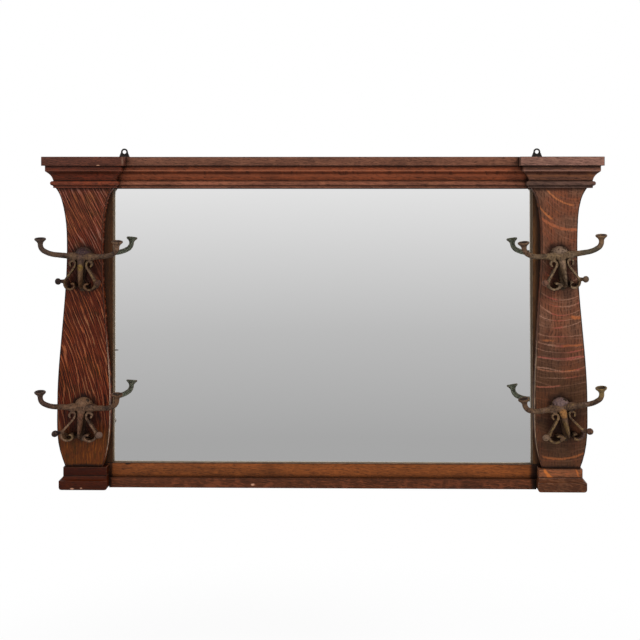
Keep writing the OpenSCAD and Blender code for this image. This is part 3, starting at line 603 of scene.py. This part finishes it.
def is_sharp(edge, angle=SHARP_ANGLE):
    return len(edge.link_faces) == 2 and edge.calc_face_angle(0.0) > angle


def smooth_by_angle(bm):
    for face in bm.faces:
        face.smooth = True
    for edge in bm.edges:
        if is_sharp(edge, CREASE_ANGLE):
            edge.smooth = False


def round_edges(bm, chosen, round_mm, steps, material=-1, clamp=True):
    bmesh.ops.bevel(bm, geom=chosen, offset=round_mm * MM, segments=steps, profile=0.6,
                    affect="EDGES", clamp_overlap=clamp, material=material)


def lower_corners(bm):
    """The edges that run from back to front at the two lower corners of a block."""
    floor_z = min(v.co.z for v in bm.verts)
    ends = (min(v.co.x for v in bm.verts), max(v.co.x for v in bm.verts))
    chosen = []
    for edge in bm.edges:
        a, b = (v.co for v in edge.verts)
        at_end = any(abs(a.x - end) < MM and abs(b.x - end) < MM for end in ends)
        if at_end and abs(a.z - floor_z) < MM and abs(b.z - floor_z) < MM:
            chosen.append(edge)
    return chosen


def front_outline(bm):
    """The edges round a post's front face."""
    front = min(v.co.y for v in bm.verts)
    return [e for e in bm.edges if is_sharp(e) and all(v.co.y < front + 0.1 * MM for v in e.verts)]


# Places of a piece's materials: its face, its edges that look up or to the mirror, worn and paler as a
# painted highlight, the others, darker as painted shade, and the lip.
FACE = 0
WORN_LIT_EDGE = 1
SHADED_EDGE = 2
LIP = 3


def edge_look(face, inward):
    return WORN_LIT_EDGE if face.normal.x * inward > 0.3 or face.normal.z > 0.3 else SHADED_EDGE


def is_lip(face):
    """True for the frame's inner faces round the glass."""
    middle = face.calc_center_median()
    beside = abs(face.normal.x) > 0.7 and abs(abs(middle.x) - SIGHT_X) < MM
    over = abs(face.normal.z) > 0.7 and abs(abs(middle.z) - SIGHT_Z) < MM
    return beside or over


# How far each side of a post stands off the even outline: pairs of height in metres and
# millimetres to the right, first of the post's left side and then of its right one.
POST_SIDES = {
    "left_post": (
        [(-0.292, -1.4), (-0.280, -1.4), (-0.260, -2.5), (-0.240, -3.2), (-0.110, -2.3), (-0.027, -1.7),
         (0.058, -1.9), (0.210, -2.1), (0.240, -3.0), (0.260, -3.6), (0.290, -4.6)],
        [(-0.292, -4.5), (-0.280, -5.2), (-0.260, -5.8), (-0.110, -4.2), (-0.027, -4.2), (0.058, -2.8),
         (0.210, -0.6), (0.270, 0.0)]),
    "right_post": (
        [(-0.292, 3.5), (-0.280, 4.2), (-0.260, 4.2), (-0.100, 2.8), (-0.069, 2.1), (-0.027, 0.6),
         (0.016, -1.3), (0.058, -1.7), (0.240, -1.5)],
        [(-0.240, 0.0), (-0.110, -0.2), (-0.030, -0.6), (0.058, -1.0), (0.210, -1.4), (0.240, -2.7),
         (0.260, -3.4), (0.290, -2.3)]),
}


def between(points, at):
    """Value at a height, on straight lines between the points."""
    if at <= points[0][0]:
        return points[0][1]
    for (low, a), (high, b) in zip(points, points[1:]):
        if at <= high:
            return a + (b - a) * (at - low) / (high - low)
    return points[-1][1]


def shape_post(bm, node):
    """Moves the outline of a post to its own slightly uneven sides."""
    low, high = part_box(node)
    middle = (low.x + high.x) / 2
    for vert in bm.verts:
        vert.co.x += between(POST_SIDES[node][vert.co.x > middle], vert.co.z) * MM


# Weights of across, out and up, by which a mesh's parts are put in order.
ORDER = Vector((1.0, 13.7, 171.3))


def sort_parts(bm):
    """Bevels leave the parts in an order of their own. Sorted, each run writes the same mesh."""
    bm.verts.sort(key=lambda vert: vert.co.dot(ORDER))
    bm.edges.sort(key=lambda edge: (edge.verts[0].co + edge.verts[1].co).dot(ORDER))
    bm.faces.sort(key=lambda face: face.calc_center_median().dot(ORDER))


EDGE_ROUND_MM = 0.8
RAIL_ROUND_MM = 1.4
POST_ROUND_MM = 2.2
BASE_ROUND_MM = 7.0
LEAST_EDGE = 3 * MM
WELD = 0.01 * MM


def shape_wood(bm, node):
    """Clears the solid's mesh of needless edges, gives a post its sides, and rounds what is sharp."""
    for face in bm.faces:
        face.material_index = FACE
    bmesh.ops.remove_doubles(bm, verts=bm.verts, dist=WELD)
    bmesh.ops.dissolve_limit(bm, angle_limit=radians(0.5), verts=bm.verts, edges=bm.edges)
    if node in POST_SIDES:
        shape_post(bm, node)
        round_edges(bm, front_outline(bm), POST_ROUND_MM, 3, WORN_LIT_EDGE, False)
    if node.endswith("plinth_base"):
        round_edges(bm, lower_corners(bm), BASE_ROUND_MM, 4)
    sort_parts(bm)
    long_edges = [e for e in bm.edges if is_sharp(e) and e.calc_length() > LEAST_EDGE]
    round_edges(bm, long_edges, RAIL_ROUND_MM if node == "bottom_rail" else EDGE_ROUND_MM, 2, WORN_LIT_EDGE)
    sort_parts(bm)
    bm.normal_update()


def wood_piece(node, material):
    """The node's own shape with rounded edges, the rounding in an edge material."""
    mesh = frame["nodes"][node].data.copy()
    mesh.materials.clear()
    low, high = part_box(node)
    side = 1 if low.x + high.x > 0.1 else -1
    edge = node if node in EDGES else "right" if side > 0 else "left"
    for look in (material, EDGES[edge], EDGES["dark"], EDGES["lip"]):
        mesh.materials.append(look)
    bm = bmesh.new()
    bm.from_mesh(mesh)
    shape_wood(bm, node)
    for face in bm.faces:
        if face.material_index == WORN_LIT_EDGE:
            face.material_index = edge_look(face, -side)
        elif node.endswith(("stile", "rail")) and is_lip(face):
            face.material_index = LIP
    smooth_by_angle(bm)
    bm.to_mesh(mesh)
    bm.free()
    new_object("oak_" + node, mesh, "oak", node)


# Level lines of a look: height, half width, tone and share.
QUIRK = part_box("center_crown")[1].z - 0.0150
# Painted shadow in the crowns' quirk under the fillet.
QUIRK_SHADE = (52, 18, 6)
# Painted shadow under the plinth block's foot.
BLOCK_FOOT_SHADE = (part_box("left_plinth_block")[0].z, 0.0034, GRIME_AND_SHADE, 0.85)
LINES = {
    "left_block": [BLOCK_FOOT_SHADE],
    "right_block": [BLOCK_FOOT_SHADE],
    "left_crown": [(QUIRK, 0.0022, QUIRK_SHADE, 0.8), (QUIRK + 0.0048, 0.0014, (112, 66, 50), 0.6)],
    "center_crown": [(QUIRK, 0.0024, QUIRK_SHADE, 0.8), (QUIRK + 0.0048, 0.0016, (146, 92, 68), 0.7),
                     (QUIRK - 0.0060, 0.0030, (136, 76, 50), 0.5)],
    "right_crown": [(QUIRK, 0.0022, QUIRK_SHADE, 0.8), (QUIRK + 0.0048, 0.0020, (134, 98, 86), 0.7),
                    (QUIRK - 0.0060, 0.0026, (132, 82, 52), 0.5)],
}

for look, (mean, stain, figure, nodes) in OAK_LOOKS.items():
    wood = oak(look, mean, stain, figure if callable(figure) else board_figure(*figure), len(look) * 1.3,
               look in UPRIGHT, SPOTS.get(look, ()), LINES.get(look, ()))
    for node in nodes:
        wood_piece(node, wood)


# ---- mirror

# A small dark nick at the left edge: place across and up, and half its width and height.
NICK_X = -0.4424
NICK_Z = -0.0536
NICK_HALF = (0.0062, 1.0, 0.0022)
# How far off the wall the silver seems to lie, seen through the glass.
SEEMING_DEPTH = 0.0107


def mirror_material():
    """Silver, with a thin brown line painted as the reflection of the frame's edge in the glass, and a
    thin pale line beside it.
    """
    material, sheet = new_material("silvered_glass")
    x, _, z = sheet.split(sheet.place)
    left = sheet.fade(z, -0.25, -0.12, -0.0013, 0.0)
    right = sheet.minus(sheet.fade(z, -0.15, 0.15, 0.0, 0.0014), left)
    uneven = sheet.times_plus(sheet.fade(x, -0.001, 0.001), right, left)
    past_x = sheet.plus(sheet.minus(sheet.off(x), SIGHT_X), uneven)
    past_z = sheet.minus(sheet.times(z, -1.0), SIGHT_Z + 0.0018)
    past = sheet.math("MAXIMUM", past_x, past_z)
    edge = sheet.fade(past, -0.0044, -0.0026)
    sheet.colour = grey(0.94)
    # Painted reflection of the frame's edge as a brown line, with a pale line further in.
    sheet.paint(edge, sheet.mix(sheet.fade(past, -0.0034, -0.0018), (224, 212, 192), (104, 88, 70)))
    far = sheet.combine(sheet.minus(x, NICK_X), 0.0, sheet.minus(z, NICK_Z))
    nick = sheet.fade(sheet.vector("LENGTH", sheet.vector("DIVIDE", far, NICK_HALF)), 0.4, 1.1, 0.85, 0.0)
    sheet.paint(nick, (56, 46, 38))
    edge = sheet.math("MAXIMUM", edge, nick)
    finish_material(sheet, metallic=sheet.minus(1.0, edge), roughness=sheet.times(edge, 0.5))
    return material


def make_mirror():
    """The plate, drawn with its silver where it seems to lie through the glass."""
    low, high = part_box("mirror_plate")
    low = (low.x, -SEEMING_DEPTH, low.z)
    bm = bmesh.new()
    bmesh.ops.create_cube(bm, size=1.0)
    for vert in bm.verts:
        vert.co = [low[k] if vert.co[k] < 0 else high[k] for k in range(3)]
    bmesh.ops.bevel(bm, geom=bm.edges[:], offset=0.8 * MM, segments=2, affect="EDGES")
    mesh = as_mesh(bm, "mirror")
    mesh.materials.append(mirror_material())
    new_object("mirror", mesh, "mirror", "mirror_plate")


make_mirror()


# ---- hooks

# A hook's own space, in millimetres: x runs right, y up and z out from the post.
ARM_ROOT = Vector((0.0, -4.0))
ARM_AXIS_OUT = 13.0
BAR_OUT = 20.0
BAR_HALF = 30.0
ARM_TURN = radians(28.5)
ARM_RISE = radians(5.3)
ARM_LEN = 58.8
SWEEP_R = 60.0
SWEEP_END = radians(30)
BEND_R = 16.0
BEND_END = radians(88)
ARM_ROOT_R = 6.6
ARM_TIP_R = 5.4
TRUMPET_LEN = 13.4
TRUMPET_R = 12.2
TRUMPET_LEAN = 0.14
DOME = Vector((18.8, 16.2, 22.8))
HOOK_BACK = 3.0
RIBBON_OUT = 30.0
RIBBON_HALF = 2.1
BALL = Vector((44.0, -54.0, 46.0))
BALL_R = 7.0
EAR_Y = -71.0
VOXEL = 0.0008


def skin(bm, rings):
    """Faces between rings of as many points each, and over both ends."""
    for low, high in zip(rings, rings[1:]):
        for k in range(len(low)):
            after = (k + 1) % len(low)
            bm.faces.new((low[k], low[after], high[after], high[k]))
    bm.faces.new(list(reversed(rings[0])))
    bm.faces.new(rings[-1])


def tube(bm, centres, radii, sides, relief=None):
    """A closed tube through centres, whose radius may vary round it by relief(angle, share)."""
    rings = []
    normal = None
    count = len(centres)
    for i, centre in enumerate(centres):
        axis = (centres[min(i + 1, count - 1)] - centres[max(i - 1, 0)]).normalized()
        if normal is None:
            normal = axis.orthogonal().normalized()
        normal = (normal - axis * normal.dot(axis)).normalized()
        other = axis.cross(normal)
        ring = []
        for k in range(sides):
            angle = 2 * pi * k / sides
            r = radii[i] * (1 + (relief(angle, i / (count - 1)) if relief else 0.0))
            ring.append(bm.verts.new(centre + normal * r * cos(angle) + other * r * sin(angle)))
        rings.append(ring)
    skin(bm, rings)


def in_arm_plane(along, up, side):
    """A point of an arm's own plane, in the hook's space. By the dome it stands out as the bar does."""
    out = ARM_AXIS_OUT + along * sin(ARM_TURN)
    if along < BAR_HALF:
        joint = ARM_AXIS_OUT + BAR_HALF * sin(ARM_TURN)
        out = BAR_OUT + (joint - BAR_OUT) * max(along, 0.0) / BAR_HALF
    return Vector((side * along * cos(ARM_TURN), up, out))


def arc_points(start, radius, a0, a1, steps):
    """Points of an arc that leaves start at angle a0 and turns to a1, without its first point."""
    points = []
    for i in range(1, steps + 1):
        a = a0 + (a1 - a0) * i / steps
        points.append(start + radius * Vector((sin(a) - sin(a0), cos(a0) - cos(a))))
    return points


def arm_line():
    """Middle line of an arm in its plane, from the boss to the trumpet's foot."""
    heading = Vector((cos(ARM_RISE), sin(ARM_RISE)))
    line = [ARM_ROOT + heading * ARM_LEN * i / 24 for i in range(25)]
    line += arc_points(line[-1], SWEEP_R, ARM_RISE, SWEEP_END, 8)
    line += arc_points(line[-1], BEND_R, SWEEP_END, BEND_END, 10)
    return line


def trumpet_foot(side):
    """Where a trumpet starts, and its heading."""
    end = arm_line()[-1]
    foot = in_arm_plane(*end, side)
    ahead = in_arm_plane(*(end + Vector((cos(BEND_END), sin(BEND_END)))), side) - foot
    ahead.z += TRUMPET_LEAN
    return foot, ahead


def add_arm(bm, side):
    line = arm_line()
    count = len(line)
    radii = []
    for i, point in enumerate(line):
        share = i / (count - 1)
        leaf = sin(pi * clamped((point.x - 8) / 26))
        radii.append(ARM_ROOT_R + (ARM_TIP_R - ARM_ROOT_R) * min(share * 1.6, 1.0) + 2.0 * leaf)

    def leaf_relief(angle, share):
        inside = sin(pi * clamped((share - 0.05) / 0.33))
        return 0.10 * inside * (abs(cos(2.5 * angle)) - 0.5)

    tube(bm, [in_arm_plane(p.x, p.y, side) for p in line], radii, 32, leaf_relief)
    foot, ahead = trumpet_foot(side)
    solid_of_turning(bm, foot - ahead.normalized(), ahead, trumpet_profile())


def trumpet_mouth(side):
    """Middle of a trumpet's mouth, in the hook's space."""
    foot, ahead = trumpet_foot(side)
    return foot + ahead.normalized() * (TRUMPET_LEN - 2)


# How far behind the trumpet's mouth, and within its radius, points of the lip and the cup lie.
TRUMPET_LIP = [(3.2, 0.3), (2.1, 0.0), (1.0, 0.2), (0.2, 1.0), (0.0, 2.2), (0.6, 3.6), (2.6, 5.2),
               (5.4, 7.6), (6.6, 11.2)]


def trumpet_profile():
    """Distance along and radius of the bell: its flare, its thick lip and the cup inside."""
    profile = [(-1.0, ARM_TIP_R)]
    for i in range(9):
        t = i / 8
        profile.append((1 + (TRUMPET_LEN - 5.2) * t, ARM_TIP_R + (TRUMPET_R - 1.0 - ARM_TIP_R) * t ** 1.8))
    return profile + [(TRUMPET_LEN - behind, TRUMPET_R - within) for behind, within in TRUMPET_LIP]


def solid_of_turning(bm, base, heading, profile, sides=40):
    """A closed turned form: profile gives pairs of distance along the heading and radius."""
    axis = heading.normalized()
    normal = axis.orthogonal().normalized()
    other = axis.cross(normal)
    start = profile[0][0]
    angles = [2 * pi * k / sides for k in range(sides)]
    rings = []
    for along, radius in profile:
        centre = base + axis * (along - start)
        rings.append([bm.verts.new(centre + radius * (normal * cos(a) + other * sin(a)))
                      for a in angles])
    skin(bm, rings)


def add_ellipsoid(bm, centre, radii, detail=32):
    matrix = Matrix.Translation(centre) @ Matrix.Diagonal((*radii, 1.0))
    bmesh.ops.create_uvsphere(bm, u_segments=detail, v_segments=detail // 2, radius=1.0, matrix=matrix)


def curl(centre, radius, start, end, step=10):
    """Points round a curl with the way across the ribbon at each, angles in degrees."""
    count = ceil(abs(end - start) / step)
    turn = 1 if end > start else -1
    points = []
    for i in range(count + 1):
        a = radians(start + (end - start) * i / count)
        way = Vector((cos(a), sin(a)))
        points.append((Vector(centre) + radius * way, turn * way))
    return points


# Centre, radius and angles of each curl of the right ribbon, from the top.
RIBBON_CURLS = [
    ((17.5, -17.5), 6.0, -60, 180), ((25.5, -17.5), 14.0, 180, 219),
    ((22.0, -58.5), 13.0, 20, -135), ((16.3, -64.2), 5.0, -135, -310)]
TIP_POINTS = 7


def ribbon_back(y):
    """A ribbon rests on the post along its lower curl and stands free of it above."""
    return HOOK_BACK + 13.0 * clamped((y + 62) / 12)


def add_ribbon(bm, side):
    line = [point for c in RIBBON_CURLS for point in curl(*c)]
    last = len(line) - 1
    rings = []
    for i, (point, way) in enumerate(line):
        full = min(i, last - i, TIP_POINTS) / TIP_POINTS
        half = way * (RIBBON_HALF * (0.75 + 0.25 * full))
        a, b = point + half, point - half
        corners = ((a, ribbon_back(a.y)), (a, RIBBON_OUT), (b, RIBBON_OUT), (b, ribbon_back(b.y)))
        rings.append([bm.verts.new((side * p.x, p.y, z)) for p, z in corners])
    skin(bm, rings)


def add_prong(bm, side):
    corner = curl(*RIBBON_CURLS[2])[0][0]
    root = Vector((side * (corner.x - 1), corner.y - 1, 22.0))
    tip = Vector((side * BALL.x, BALL.y, BALL.z))
    shares = [i / 8 for i in range(9)]
    tube(bm, [root.lerp(tip, share) for share in shares], [4.4 - share for share in shares], 20)
    add_ellipsoid(bm, tip, (BALL_R, BALL_R, BALL_R))


# Height, half width, and how far it stands out, down the tongue.
TONGUE_STATIONS = [(3, 12.4, 22), (-4, 12.2, 28.5), (-9, 10.8, 32.5), (-14, 9.2, 35), (-20, 7.9, 36),
                   (-28, 6.5, 36), (-37, 5.4, 35), (-47, 4.6, 33), (-57, 4.0, 29), (-64, 3.6, 24),
                   (-69, 3.3, 15), (-71, 3.1, 7)]
TONGUE_SIDES = 28


def clamped(value):
    return min(max(value, 0.0), 1.0)


def add_tongue(bm):
    """Lofted from full, round-cornered sections with a low ridge down the middle."""
    rings = []
    for y, half, out in TONGUE_STATIONS:
        ring = []
        for k in range(TONGUE_SIDES + 1):
            a = pi * k / TONGUE_SIDES
            ridge = 1 + 0.03 * exp(-((a - pi / 2) / 0.3) ** 2)
            x = half * copysign(abs(cos(a)) ** 0.75, cos(a))
            ring.append(bm.verts.new((x, y, max(0.4, out * abs(sin(a)) ** 0.42 * ridge))))
        rings.append(ring)
    skin(bm, rings)


def add_boss(bm):
    """The domed rosette, the web between bar and tongue, and the ear for the lower screw."""
    profile = [(0, 1.03), (2.0, 1.03), (3.0, 0.99)]
    for i in range(1, 13):
        a = radians(7.5 * i)
        profile.append((3.0 + (DOME.z - 3.0) * sin(a), max(0.98 * cos(a), 0.04)))
    old = set(bm.verts)
    solid_of_turning(bm, Vector((0, 0, 0)), Vector((0, 0, 1)), profile, 48)
    for vert in set(bm.verts) - old:
        vert.co.x *= DOME.x
        vert.co.y *= DOME.y
    add_ellipsoid(bm, Vector((0, -7.0, 20.0)), (17.0, 6.5, 8.5))
    for side in (-1, 1):
        add_ellipsoid(bm, Vector((side * 20, -1.5, 12.0)), (11.0, 6.5, 9.0))
    solid_of_turning(bm, Vector((0, EAR_Y, 0)), Vector((0, 0, 1)), [(0, 6.0), (2.4, 6.0), (3.2, 5.3)], 32)


def cast_relief(point, flutes):
    """How far a point of the casting moves along its normal, in millimetres."""
    x, y, z = point
    moved = 0.22 * noise.noise(point * 0.35) + 0.12 * noise.noise(point * 1.1)
    on_dome = max(0.0, 1 - abs(hypot(x, y) - 9) / 11) * (1 if y > -2.5 and z > 5 else 0)
    if on_dome > 0:
        turn = atan2(x, y + 22)
        moved += flutes * on_dome * (0.55 * cos(turn * 26) + 0.25 * cos(z * 2.6 + x * 0.6))
    on_leaf = max(0.0, 1 - abs(abs(x) - 17) / 11) * (1 if y > -14 else 0)
    moved += 0.35 * on_leaf * cos(y * 2.1 + abs(x) * 0.45)
    return moved


def hook_mesh():
    """One even casting, its parts welded into one skin."""
    bm = bmesh.new()
    add_boss(bm)
    add_tongue(bm)
    for side in (-1, 1):
        add_arm(bm, side)
        add_ribbon(bm, side)
        add_prong(bm, side)
    bmesh.ops.recalc_face_normals(bm, faces=bm.faces)
    bmesh.ops.scale(bm, vec=(MM, MM, MM), verts=bm.verts)
    rough = as_mesh(bm, "hook_rough")
    holder = linked("hook_rough", rough)
    remesh = holder.modifiers.new("remesh", "REMESH")
    remesh.mode = "VOXEL"
    remesh.voxel_size = VOXEL
    smooth = holder.modifiers.new("smooth", "SMOOTH")
    smooth.factor = 0.5
    smooth.iterations = 3
    bpy.context.view_layer.update()
    mesh = bpy.data.meshes.new_from_object(holder.evaluated_get(bpy.context.evaluated_depsgraph_get()))
    bpy.data.objects.remove(holder)
    bpy.data.meshes.remove(rough)
    return mesh


def bent(x, y, z, tongue_lean, lean, spread):
    """How far to the right a casting is out of true at a point, in millimetres, below its arms."""
    down = max(-10 - y, 0.0) * clamped((z - 3) / 6)
    on_tongue = clamped((13 - abs(x)) / 4)
    return down * (tongue_lean * on_tongue + (lean + spread * x / 44) * (1 - on_tongue))


def weathered(mesh, flutes, bends):
    """The casting's relief and pitting, moved into the mesh, and its own bend."""
    bm = bmesh.new()
    bm.from_mesh(mesh)
    bm.normal_update()
    moves = [v.normal * cast_relief(v.co / MM, flutes) * MM for v in bm.verts]
    for vert, move in zip(bm.verts, moves):
        vert.co.x += bent(*(vert.co / MM), *bends) * MM
        vert.co += move
        vert.co.z = max(vert.co.z, 0.0)
    for face in bm.faces:
        face.smooth = True
    return as_mesh(bm, "hook")


def zone(sheet, place, centre, radii, tone, amount):
    """Another tone round a place of the casting, both in its own millimetres, with a ragged edge."""
    apart = sheet.vector("SUBTRACT", place, tuple(v * MM for v in centre))
    far = sheet.vector("LENGTH", sheet.vector("DIVIDE", apart, tuple(v * MM for v in radii)))
    far = sheet.times_plus(sheet.noise(place, 130.0, 3.0), 0.8, sheet.minus(far, 0.4))
    sheet.paint(sheet.fade(far, 0.6, 1.1, amount, 0.0), tone)


def rubbed_fronts(sheet, place):
    """Share of bare metal along the ribbons' front edges, broken into patches."""
    x, y, z = sheet.split(place)
    return sheet.times(sheet.fade(z, (RIBBON_OUT - 3.4) * MM, (RIBBON_OUT - 1.4) * MM),
                       sheet.fade(z, (RIBBON_OUT + 2.5) * MM, (RIBBON_OUT + 1) * MM),
                       sheet.fade(y, -9 * MM, -12 * MM),
                       sheet.fade(sheet.off(x), 7 * MM, 9 * MM),
                       sheet.fade(sheet.noise(place, 150.0, 2.0), 0.46, 0.60))


# Grey-green painted light for the hooks' faces turned to the wall.
BACK_FACE_LIGHT = (132, 141, 121)
CUP_TONE = (30, 20, 15)
HOLLOW_TONE = (28, 16, 11)
GRAIN_TONE = (36, 24, 18)


def bronze(name, place_on_post, tones, seed, zones):
    """Bronzed iron gone brown, bare where it is rubbed and black in its hollows."""
    dark, middle, edge, patina = tones
    material, sheet = new_material(name)
    x, z, turn = place_on_post
    own = sheet.node("Mapping", {
        "Vector": sheet.place, "Location": (x, -POST_FRONT, z),
        "Rotation": (radians(90), radians(turn), 0.0)}, vector_type="TEXTURE").outputs[0]
    place = sheet.vector("ADD", own, (seed, seed, seed))
    broad = sheet.noise(place, 45.0, 4.0, 0.6)
    spots = sheet.noise(place, 420.0, 3.0, 0.6)
    sheet.colour = sheet.ramp(broad, [(0.34, dark), (0.62, middle)])
    sheet.paint(sheet.fade(sheet.noise(place, 90.0, 3.0, 0.6), 0.52, 0.66, 0.0, 0.55), patina)
    geometry = sheet.node("NewGeometry").outputs
    point = geometry["Pointiness"]
    rubbed = sheet.math("MAXIMUM", sheet.fade(point, 0.512, 0.575, 0.0, 0.8),
                        sheet.times(rubbed_fronts(sheet, own), 0.6))
    sheet.paint(sheet.times(rubbed, sheet.fade(broad, 0.30, 0.56, 0.45, 1.0)), edge)
    cups = [(trumpet_mouth(side), (12, 4.5, 12), CUP_TONE, 0.95) for side in (-1, 1)]
    for each in (*zones, *cups):
        zone(sheet, own, *each)
    sheet.paint(sheet.fade(point, 0.49, 0.43, 0.0, 0.75), dark)
    # Grey-green painted light, with the glass's tint, on the faces turned to the wall, where the mirror
    # shows them
    facing = sheet.split(geometry["Normal"])[1]
    sheet.paint(sheet.fade(facing, 0.20, 0.70, 0.0, 0.9), BACK_FACE_LIGHT)
    # Grains of light and dark, a few millimetres across
    grains = sheet.noise(place, 230.0, 3.0, 0.7)
    sheet.paint(sheet.fade(grains, 0.52, 0.64, 0.0, 0.75), GRAIN_TONE)
    sheet.paint(sheet.fade(grains, 0.44, 0.34, 0.0, 0.45), edge)
    sheet.paint(sheet.fade(shelter(sheet, 0.012), 0.68, 0.26, 0.0, 0.8), HOLLOW_TONE)
    sheet.paint(sheet.fade(spots, 0.52, 0.75, 0.0, 0.5), dark)
    finish_material(sheet, metallic=0.12, gloss=0.25, roughness=sheet.fade(spots, 0.35, 0.7, 0.48, 0.7),
                    normal=sheet.bump(spots, 0.0003, 0.7))
    return material


def hook_place(x, z, turn):
    """From the hook's own space to the model's."""
    return (Matrix.Translation((x, -POST_FRONT, z))
            @ Matrix.Rotation(radians(turn), 4, "Y") @ Matrix.Rotation(radians(90), 4, "X"))


def ball(side, tone, amount, radius=14):
    """Zone of the ball at the end of a ribbon."""
    return (side * BALL.x, BALL.y, BALL.z), (radius, radius, radius), tone, amount


DOME_ZONE = ((0, 9, 14), (21, 13, 16))
TONGUE_TOP = ((0, -20, 36), (9, 10, 9))
TONGUE_LOW = ((0, -42, 28), (9, 22, 12))
LEFT_TIP = ((-84, 22, 57), (24, 30, 24))
RIGHT_TIP = ((84, 30, 60), (18, 20, 20))

# Depth of the dome's flutes; how its tongue and ribbons lean and its ribbons spread, per millimetre
# down; its tones (dark, middle, rubbed, dusty), its seed, and zones of another tone.
HOOK_LOOKS = {
    "upper_left_hook": (0.2, (-0.05, -0.03, -0.06), (
        (50, 34, 28), (94, 70, 52), (122, 98, 58), (84, 64, 58)), 1.0, [
        (*DOME_ZONE, (56, 38, 42), 0.9), ((0, -25, 36), (9, 8, 9), (118, 92, 40), 0.9),
        (*TONGUE_LOW, (112, 84, 60), 0.8), ((-84, 22, 57), (30, 34, 30), (70, 54, 47), 0.8),
        ((84, 30, 60), (18, 16, 20), (122, 92, 72), 0.6), ((26, -2, 26), (24, 8, 16), (98, 72, 52), 0.7),
        ((0, -62, 28), (40, 17, 18), (84, 55, 34), 0.85),
        ball(-1, (30, 18, 19), 0.95), ball(1, (66, 38, 27), 0.85)]),
    "lower_left_hook": (1.0, (-0.10, -0.08, 0.05), (
        (50, 34, 26), (98, 70, 50), (136, 106, 82), (98, 74, 60)), 2.0, [
        (*DOME_ZONE, (114, 84, 62), 0.8), (*TONGUE_TOP, (100, 64, 45), 0.9),
        (*TONGUE_LOW, (98, 66, 48), 0.9), ((-80, 22, 56), (34, 34, 30), (62, 43, 36), 0.9),
        ball(-1, (28, 17, 19), 0.97), ((-24, -64, 24), (14, 8, 14), (90, 72, 38), 0.7),
        ball(1, (106, 82, 70), 0.8, 12), ((84, 26, 58), (20, 20, 20), (98, 68, 46), 0.7)]),
    "upper_right_hook": (1.0, (0.10, 0.01, -0.05), (
        (58, 44, 33), (106, 84, 62), (144, 118, 88), (114, 94, 78)), 3.0, [
        (*DOME_ZONE, (124, 102, 86), 0.8), (*TONGUE_TOP, (126, 100, 80), 0.7),
        ((-26, -4, 26), (30, 10, 18), (108, 86, 60), 0.7), (*LEFT_TIP, (92, 66, 50), 0.8),
        ((60, 4, 44), (26, 14, 20), (80, 72, 58), 0.8), (*RIGHT_TIP, (114, 84, 58), 0.8),
        ball(-1, (106, 68, 54), 0.8), ball(1, (88, 68, 52), 0.8)]),
    "lower_right_hook": (1.2, (0.11, 0.01, 0.04), (
        (54, 38, 29), (98, 72, 52), (136, 108, 64), (106, 84, 74)), 4.0, [
        (*DOME_ZONE, (112, 90, 88), 0.9), ((0, -13, 34), (9, 12, 12), (152, 104, 56), 0.75),
        (*TONGUE_LOW, (118, 92, 56), 0.8), (*RIGHT_TIP, (126, 102, 60), 0.8),
        (*LEFT_TIP, (92, 68, 50), 0.8), ((30, -62, 24), (14, 12, 14), (98, 72, 68), 0.7),
        ball(1, (74, 48, 40), 0.85), ball(-1, (112, 88, 70), 0.8)]),
}


def make_hooks():
    rough = hook_mesh()
    for node, (flutes, bends, *look) in HOOK_LOOKS.items():
        mesh = weathered(rough, flutes, bends)
        mesh.transform(hook_place(*HOOK_PLACES[node]))
        mesh.materials.append(bronze("bronze_" + node, HOOK_PLACES[node], *look))
        new_object(node + "_casting", mesh, "bronzed_iron", node)
    bpy.data.meshes.remove(rough)


make_hooks()


# ---- metal and pine on the rest

def plain_metal(name, dark, light, roughness):
    material, sheet = new_material(name)
    spots = sheet.noise(sheet.place, 220.0, 5.0, 0.65)
    sheet.colour = sheet.ramp(spots, [(0.35, dark), (0.7, light)])
    finish_material(sheet, metallic=0.6, gloss=0.5, normal=sheet.bump(spots, 0.0003, 0.6),
                    roughness=sheet.fade(spots, 0.3, 0.7, roughness, roughness + 0.2))
    return material


STEEL = plain_metal("blackened_steel", (22, 22, 23), (52, 48, 44), 0.42)
OLD_SCREW = plain_metal("old_screw", (44, 32, 26), (92, 72, 54), 0.45)
PINE = oak("old_pine", (150, 112, 70), NO_STAIN, board_figure((180, 140, 96), 0.2), 8.8)

for entry in frame["record"]["subparts"]:
    node = entry["node"]
    chosen = {"dark_steel": STEEL, "pine": PINE}.get(entry["material_slot"])
    if node.endswith("hook_screws"):
        chosen = OLD_SCREW
    if chosen:
        for material_slot in frame["nodes"][node].material_slots:
            material_slot.material = chosen
